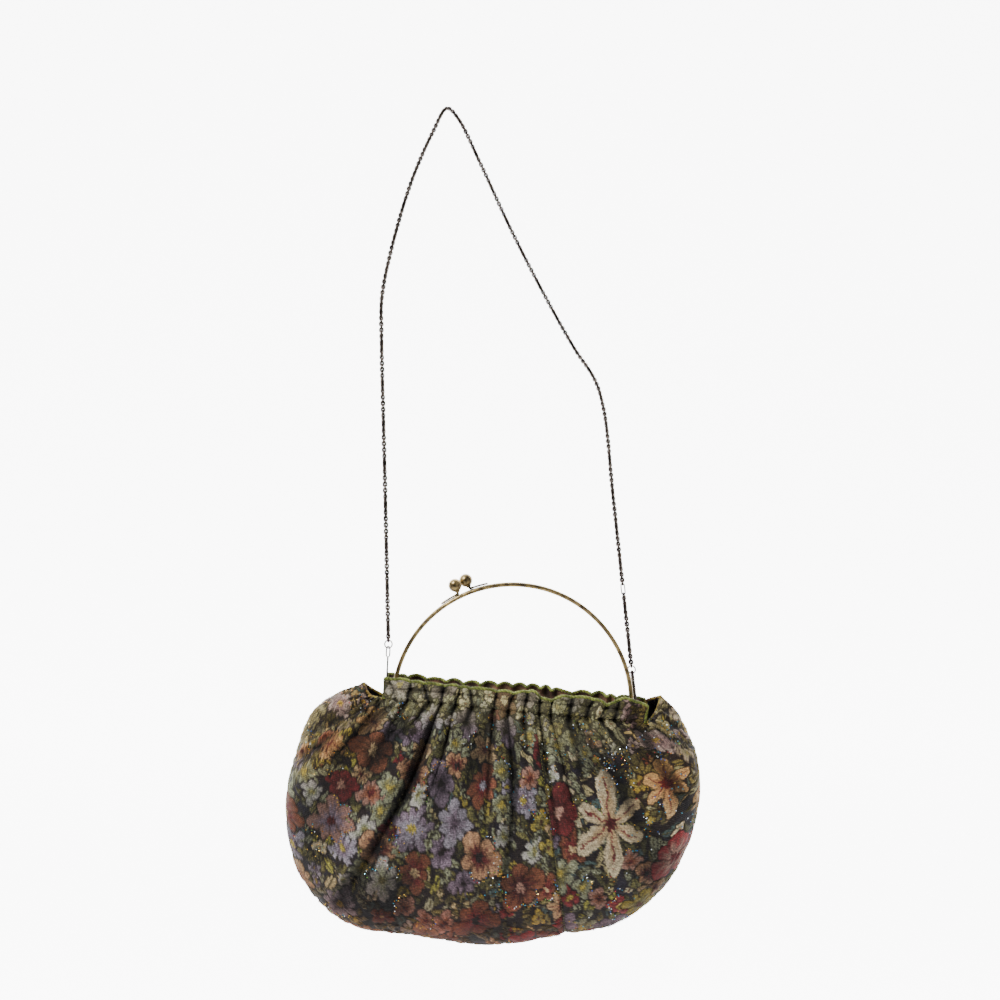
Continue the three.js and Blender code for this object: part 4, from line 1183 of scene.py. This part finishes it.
def ring_mesh(line, wire, sides=8):
    """A closed wire along a closed line."""
    ahead = np.roll(line, -1, axis=0) - np.roll(line, 1, axis=0)
    ahead /= np.linalg.norm(ahead, axis=1, keepdims=True)
    plane = unit(np.cross(line - line.mean(axis=0), ahead).mean(axis=0))
    across = np.cross(ahead, plane)
    turn = np.linspace(0, 2 * math.pi, sides, endpoint=False)
    verts = line[:, None] + wire / 2 * (
        np.cos(turn)[None, :, None] * across[:, None] + np.sin(turn)[None, :, None] * plane)
    faces = grid_faces(len(line), sides, closed=True)
    last = (len(line) - 1) * sides
    faces += [[last + k, last + (k + 1) % sides, (k + 1) % sides, k] for k in range(sides)]
    return verts.reshape(-1, 3), faces


# The pull of the chain on each clasp, in degrees, and how its parts are turned
PULLS = {
    "left": {"sign": -1, "side": -3.5, "back": 8.0, "eye": 0.9, "ring": -0.25, "body": 1,
             "stout": 1.0},
    "right": {"sign": 1, "side": -10.8, "back": 18.0, "eye": math.pi / 2, "ring": 0.2,
              "body": 0, "stout": 2.2},
}


def pull_frame(pull):
    """Where the clasp hooks, and its axes: two across and the pull itself."""
    hole = np.array([pull["sign"] * (FRAME_RADIUS + EAR[0]), 0, EAR[1] - HINGE_DROP])
    pulled = [math.tan(math.radians(pull["side"])), math.tan(math.radians(pull["back"])), 1]
    return hole, hanging_axes(unit(np.array(pulled)))


def about_pull(points, turn, axes, start):
    """Turn points about the pull, and set them on it."""
    c, s = math.cos(turn), math.sin(turn)
    x, y, z = points[:, 0], points[:, 1], points[:, 2]
    return np.stack([c * x - s * y, s * x + c * y, z], -1) @ axes + start


def build_clasp(label, pull):
    """Claw hook, flat body, swivel stem and eye, and the chain's jump ring."""
    hole, axes = pull_frame(pull)
    lift = (PLATE_HOLE - HOOK_WIRE) / 2 - 2 * GAP
    hook_middle = HOOK_LONG / 2 - HOOK_WIRE / 2 + lift
    hook = oval(HOOK_WIDE - HOOK_WIRE, HOOK_LONG - HOOK_WIRE, 40)
    hook[:, 0] *= 1 - 0.22 * smooth((hook[:, 2] + 1) / 7)
    parts = []

    def add(shape, turn, height):
        verts = shape[0] + np.array((0, 0, height))
        parts.append((about_pull(verts, turn, axes, hole), shape[1]))

    add(ring_mesh(hook, HOOK_WIRE, 10), math.pi / 2, hook_middle)
    eye_top = CLASP_LENGTH - (RING - WIRE) / 2 + WIRE + GAP + WIRE / 2
    add(ring_mesh(oval(EYE_WIDE - WIRE, EYE_LONG - WIRE), WIRE * pull["stout"], 10), pull["eye"],
        eye_top - EYE_LONG / 2)
    eye_foot = eye_top - EYE_LONG + WIRE / 2
    body_foot = HOOK_LONG + lift - 2 * HOOK_WIRE
    body_top = body_foot + (eye_foot - body_foot) * BODY_SHARE
    turn = math.pi / 2 * pull["body"]
    z = np.linspace(body_foot, body_top, 24)
    share = (z - body_foot) / (body_top - body_foot)
    full = np.sqrt(np.clip(1 - (2 * share - 1) ** 6, 0.02, 1))
    waist = 1 - 0.22 * np.sin(share * math.pi)
    add(sweep(np.outer(z, (0, 0, 1)), BODY_WIDE / 2 * full * waist, BODY_THICK / 2 * full, 18,
              first=(1.0, 0.0, 0.0)), turn, 0)
    swell = 0.72 + 0.28 * np.cos(np.linspace(0, 4 * math.pi, 16)) ** 2
    ripple = pull["stout"] * BODY_THICK / 2 * swell
    heights = np.linspace(body_top - 1.2, eye_foot + 0.3, 16)
    add(sweep(np.outer(heights, (0, 0, 1)), ripple, ripple, 16), 0, 0)
    new_mesh(f"{label}_clasp", join_parts(parts), GUNMETAL, f"clasp_{label}")
    verts, faces = ring_mesh(oval(RING - WIRE, RING - WIRE, 40), WIRE, 12)
    start = hole + axes[2] * CLASP_LENGTH
    new_mesh(f"{label}_jump_ring", (about_pull(verts, pull["ring"], axes, start), faces),
             GUNMETAL, f"chain_ring_{label}")
    return to_world(start)


def chain_links(path, start_gap, end_gap):
    """Interlinked ovals from end to end of a path, each turned against the one before it."""
    total = lengths(path)[-1]
    half = LINK_PITCH / 2 + LINK_WIRE / 2
    span = total - start_gap - end_gap - 2 * half
    count = int(round(span / LINK_PITCH)) + 1
    pitch = span / (count - 1)
    line = oval(LINK_WIDE - LINK_WIRE, pitch + LINK_WIRE - 0.06, 14)
    shape, faces = ring_mesh(line, LINK_WIRE, 6)
    fine = at_length(path, np.linspace(0, total, int(total) + 2))
    ahead, side, up = frames_along(fine)
    places = start_gap + half + pitch * np.arange(count)
    centres = at_length(path, places)
    nearest = np.clip(np.round(places / total * (len(fine) - 1)).astype(int), 0, len(fine) - 1)
    parts = []
    for k, (centre, i) in enumerate(zip(centres, nearest)):
        roll = 0.4 + k * LINK_ROLL
        axes = axes_about(ahead[i], side[i] * math.cos(roll) + up[i] * math.sin(roll))
        parts.append((shape @ axes + centre, faces))
    return join_parts(parts)


def towards(start, end, distance):
    return start + unit(end - start) * distance


def build_chain(left_ring, right_ring):
    last_bend = CHAIN_ROUTE[-1]
    connector = towards(right_ring, last_bend, CONNECTOR_UP)
    route = np.vstack([left_ring, towards(left_ring, CHAIN_ROUTE[0], 12), CHAIN_ROUTE,
                       (last_bend + connector) / 2, connector])
    wires = (WIRE + LINK_WIRE) / 2
    ring_gap = (RING - WIRE) / 2 - wires
    oval_gap = (CONNECTOR_LONG - WIRE) / 2 - wires
    short = at_length(np.vstack([connector, right_ring]), np.linspace(0, CONNECTOR_UP, 40))
    verts, faces = ring_mesh(oval(CONNECTOR_WIDE - WIRE, CONNECTOR_LONG - WIRE, 40), WIRE, 12)
    verts = verts @ hanging_axes(unit(last_bend - connector)) + connector
    for name, shape, replaced in (
            ("shoulder_links", chain_links(catmull(route, 60), ring_gap, oval_gap), "chain_long"),
            ("short_links", chain_links(short, oval_gap, ring_gap), "chain_short"),
            ("oval_connector", (verts, faces), "chain_connector")):
        new_mesh(name, shape, GUNMETAL, replaced, world=True)


# Floor, backdrop and light

def build_stage():
    """A pale seamless sweep behind and below the part, lit from within at the back."""
    materials = [Shader(name).finished(
        Base_Color=(0.9, 0.9, 0.9), Roughness=0.95, Specular_IOR_Level=0.1,
        Emission_Color=(1, 1, 1), Emission_Strength=glow)
        for name, glow in (("floor", 0.0), ("backdrop", 7.5))]
    floor, far, high, bend = -1.5, 1.6, 4.0, 0.6
    curve = [(-4.0, floor), (far - bend, floor)]
    curve += [(far - bend + bend * math.sin(a), floor + bend - bend * math.cos(a))
              for a in np.linspace(0.1, math.pi / 2, 12)]
    curve.append((far, high))
    verts = [(x, y, z) for x in (-5.0, 5.0) for y, z in curve]
    count = len(curve)
    mesh = bpy.data.meshes.new("sweep")
    mesh.from_pydata(verts, [], [[k, k + 1, count + k + 1, count + k] for k in range(count - 1)])
    mesh.shade_smooth()
    for material in materials:
        mesh.materials.append(material)
    mesh.polygons.foreach_set("material_index", [int(k > 0) for k in range(count - 1)])
    backdrop = bpy.data.objects.new("sweep", mesh)
    bpy.context.scene.collection.objects.link(backdrop)


def add_light(name, place, target, size, power):
    data = bpy.data.lights.new(name, "AREA")
    data.shape = "DISK"
    data.size = size
    data.energy = power
    light = bpy.data.objects.new(name, data)
    light.location = place
    light.rotation_euler = (Vector(target) - Vector(place)).to_track_quat("-Z", "Y").to_euler()
    bpy.context.scene.collection.objects.link(light)


def build_lights():
    middle = (0.06, -0.15, -0.6)
    add_light("key", (-0.95, -1.1, 0.8), middle, 0.5, 59)
    add_light("fill", (1.3, -1.6, 0.0), middle, 1.6, 11)
    add_light("top", (0.2, 0.3, 1.3), middle, 1.2, 12)
    world = bpy.data.worlds.new("studio")
    bpy.context.scene.world = world
    world.use_nodes = True
    background = world.node_tree.nodes["Background"]
    background.inputs["Color"].default_value = (1, 1, 1, 1)
    background.inputs["Strength"].default_value = 0.2


def dress_nodes():
    """Brass for the hinge plates and rivets, which keep the solid model's shapes."""
    for kind in ("hinge_plate", "hinge_rivet"):
        for label in PULLS:
            for slot in bpy.data.objects[f"{kind}_{label}"].material_slots:
                slot.material = BRASS


for side, heroes in ((FRONT, FRONT_HEROES), (BACK, BACK_HEROES)):
    build_bow(side)
    build_lock(side, LOCKS[side["name"]])
    cloth = Cloth(side, heroes)
    for build in (build_facing, build_lining, build_piping, build_hems, build_beads):
        build(cloth)
    if side["seam"] is not None:
        build_stitches(cloth)

rings = {label: build_clasp(label, pull) for label, pull in PULLS.items()}
build_chain(rings["left"], rings["right"])
dress_nodes()
build_stage()
build_lights()
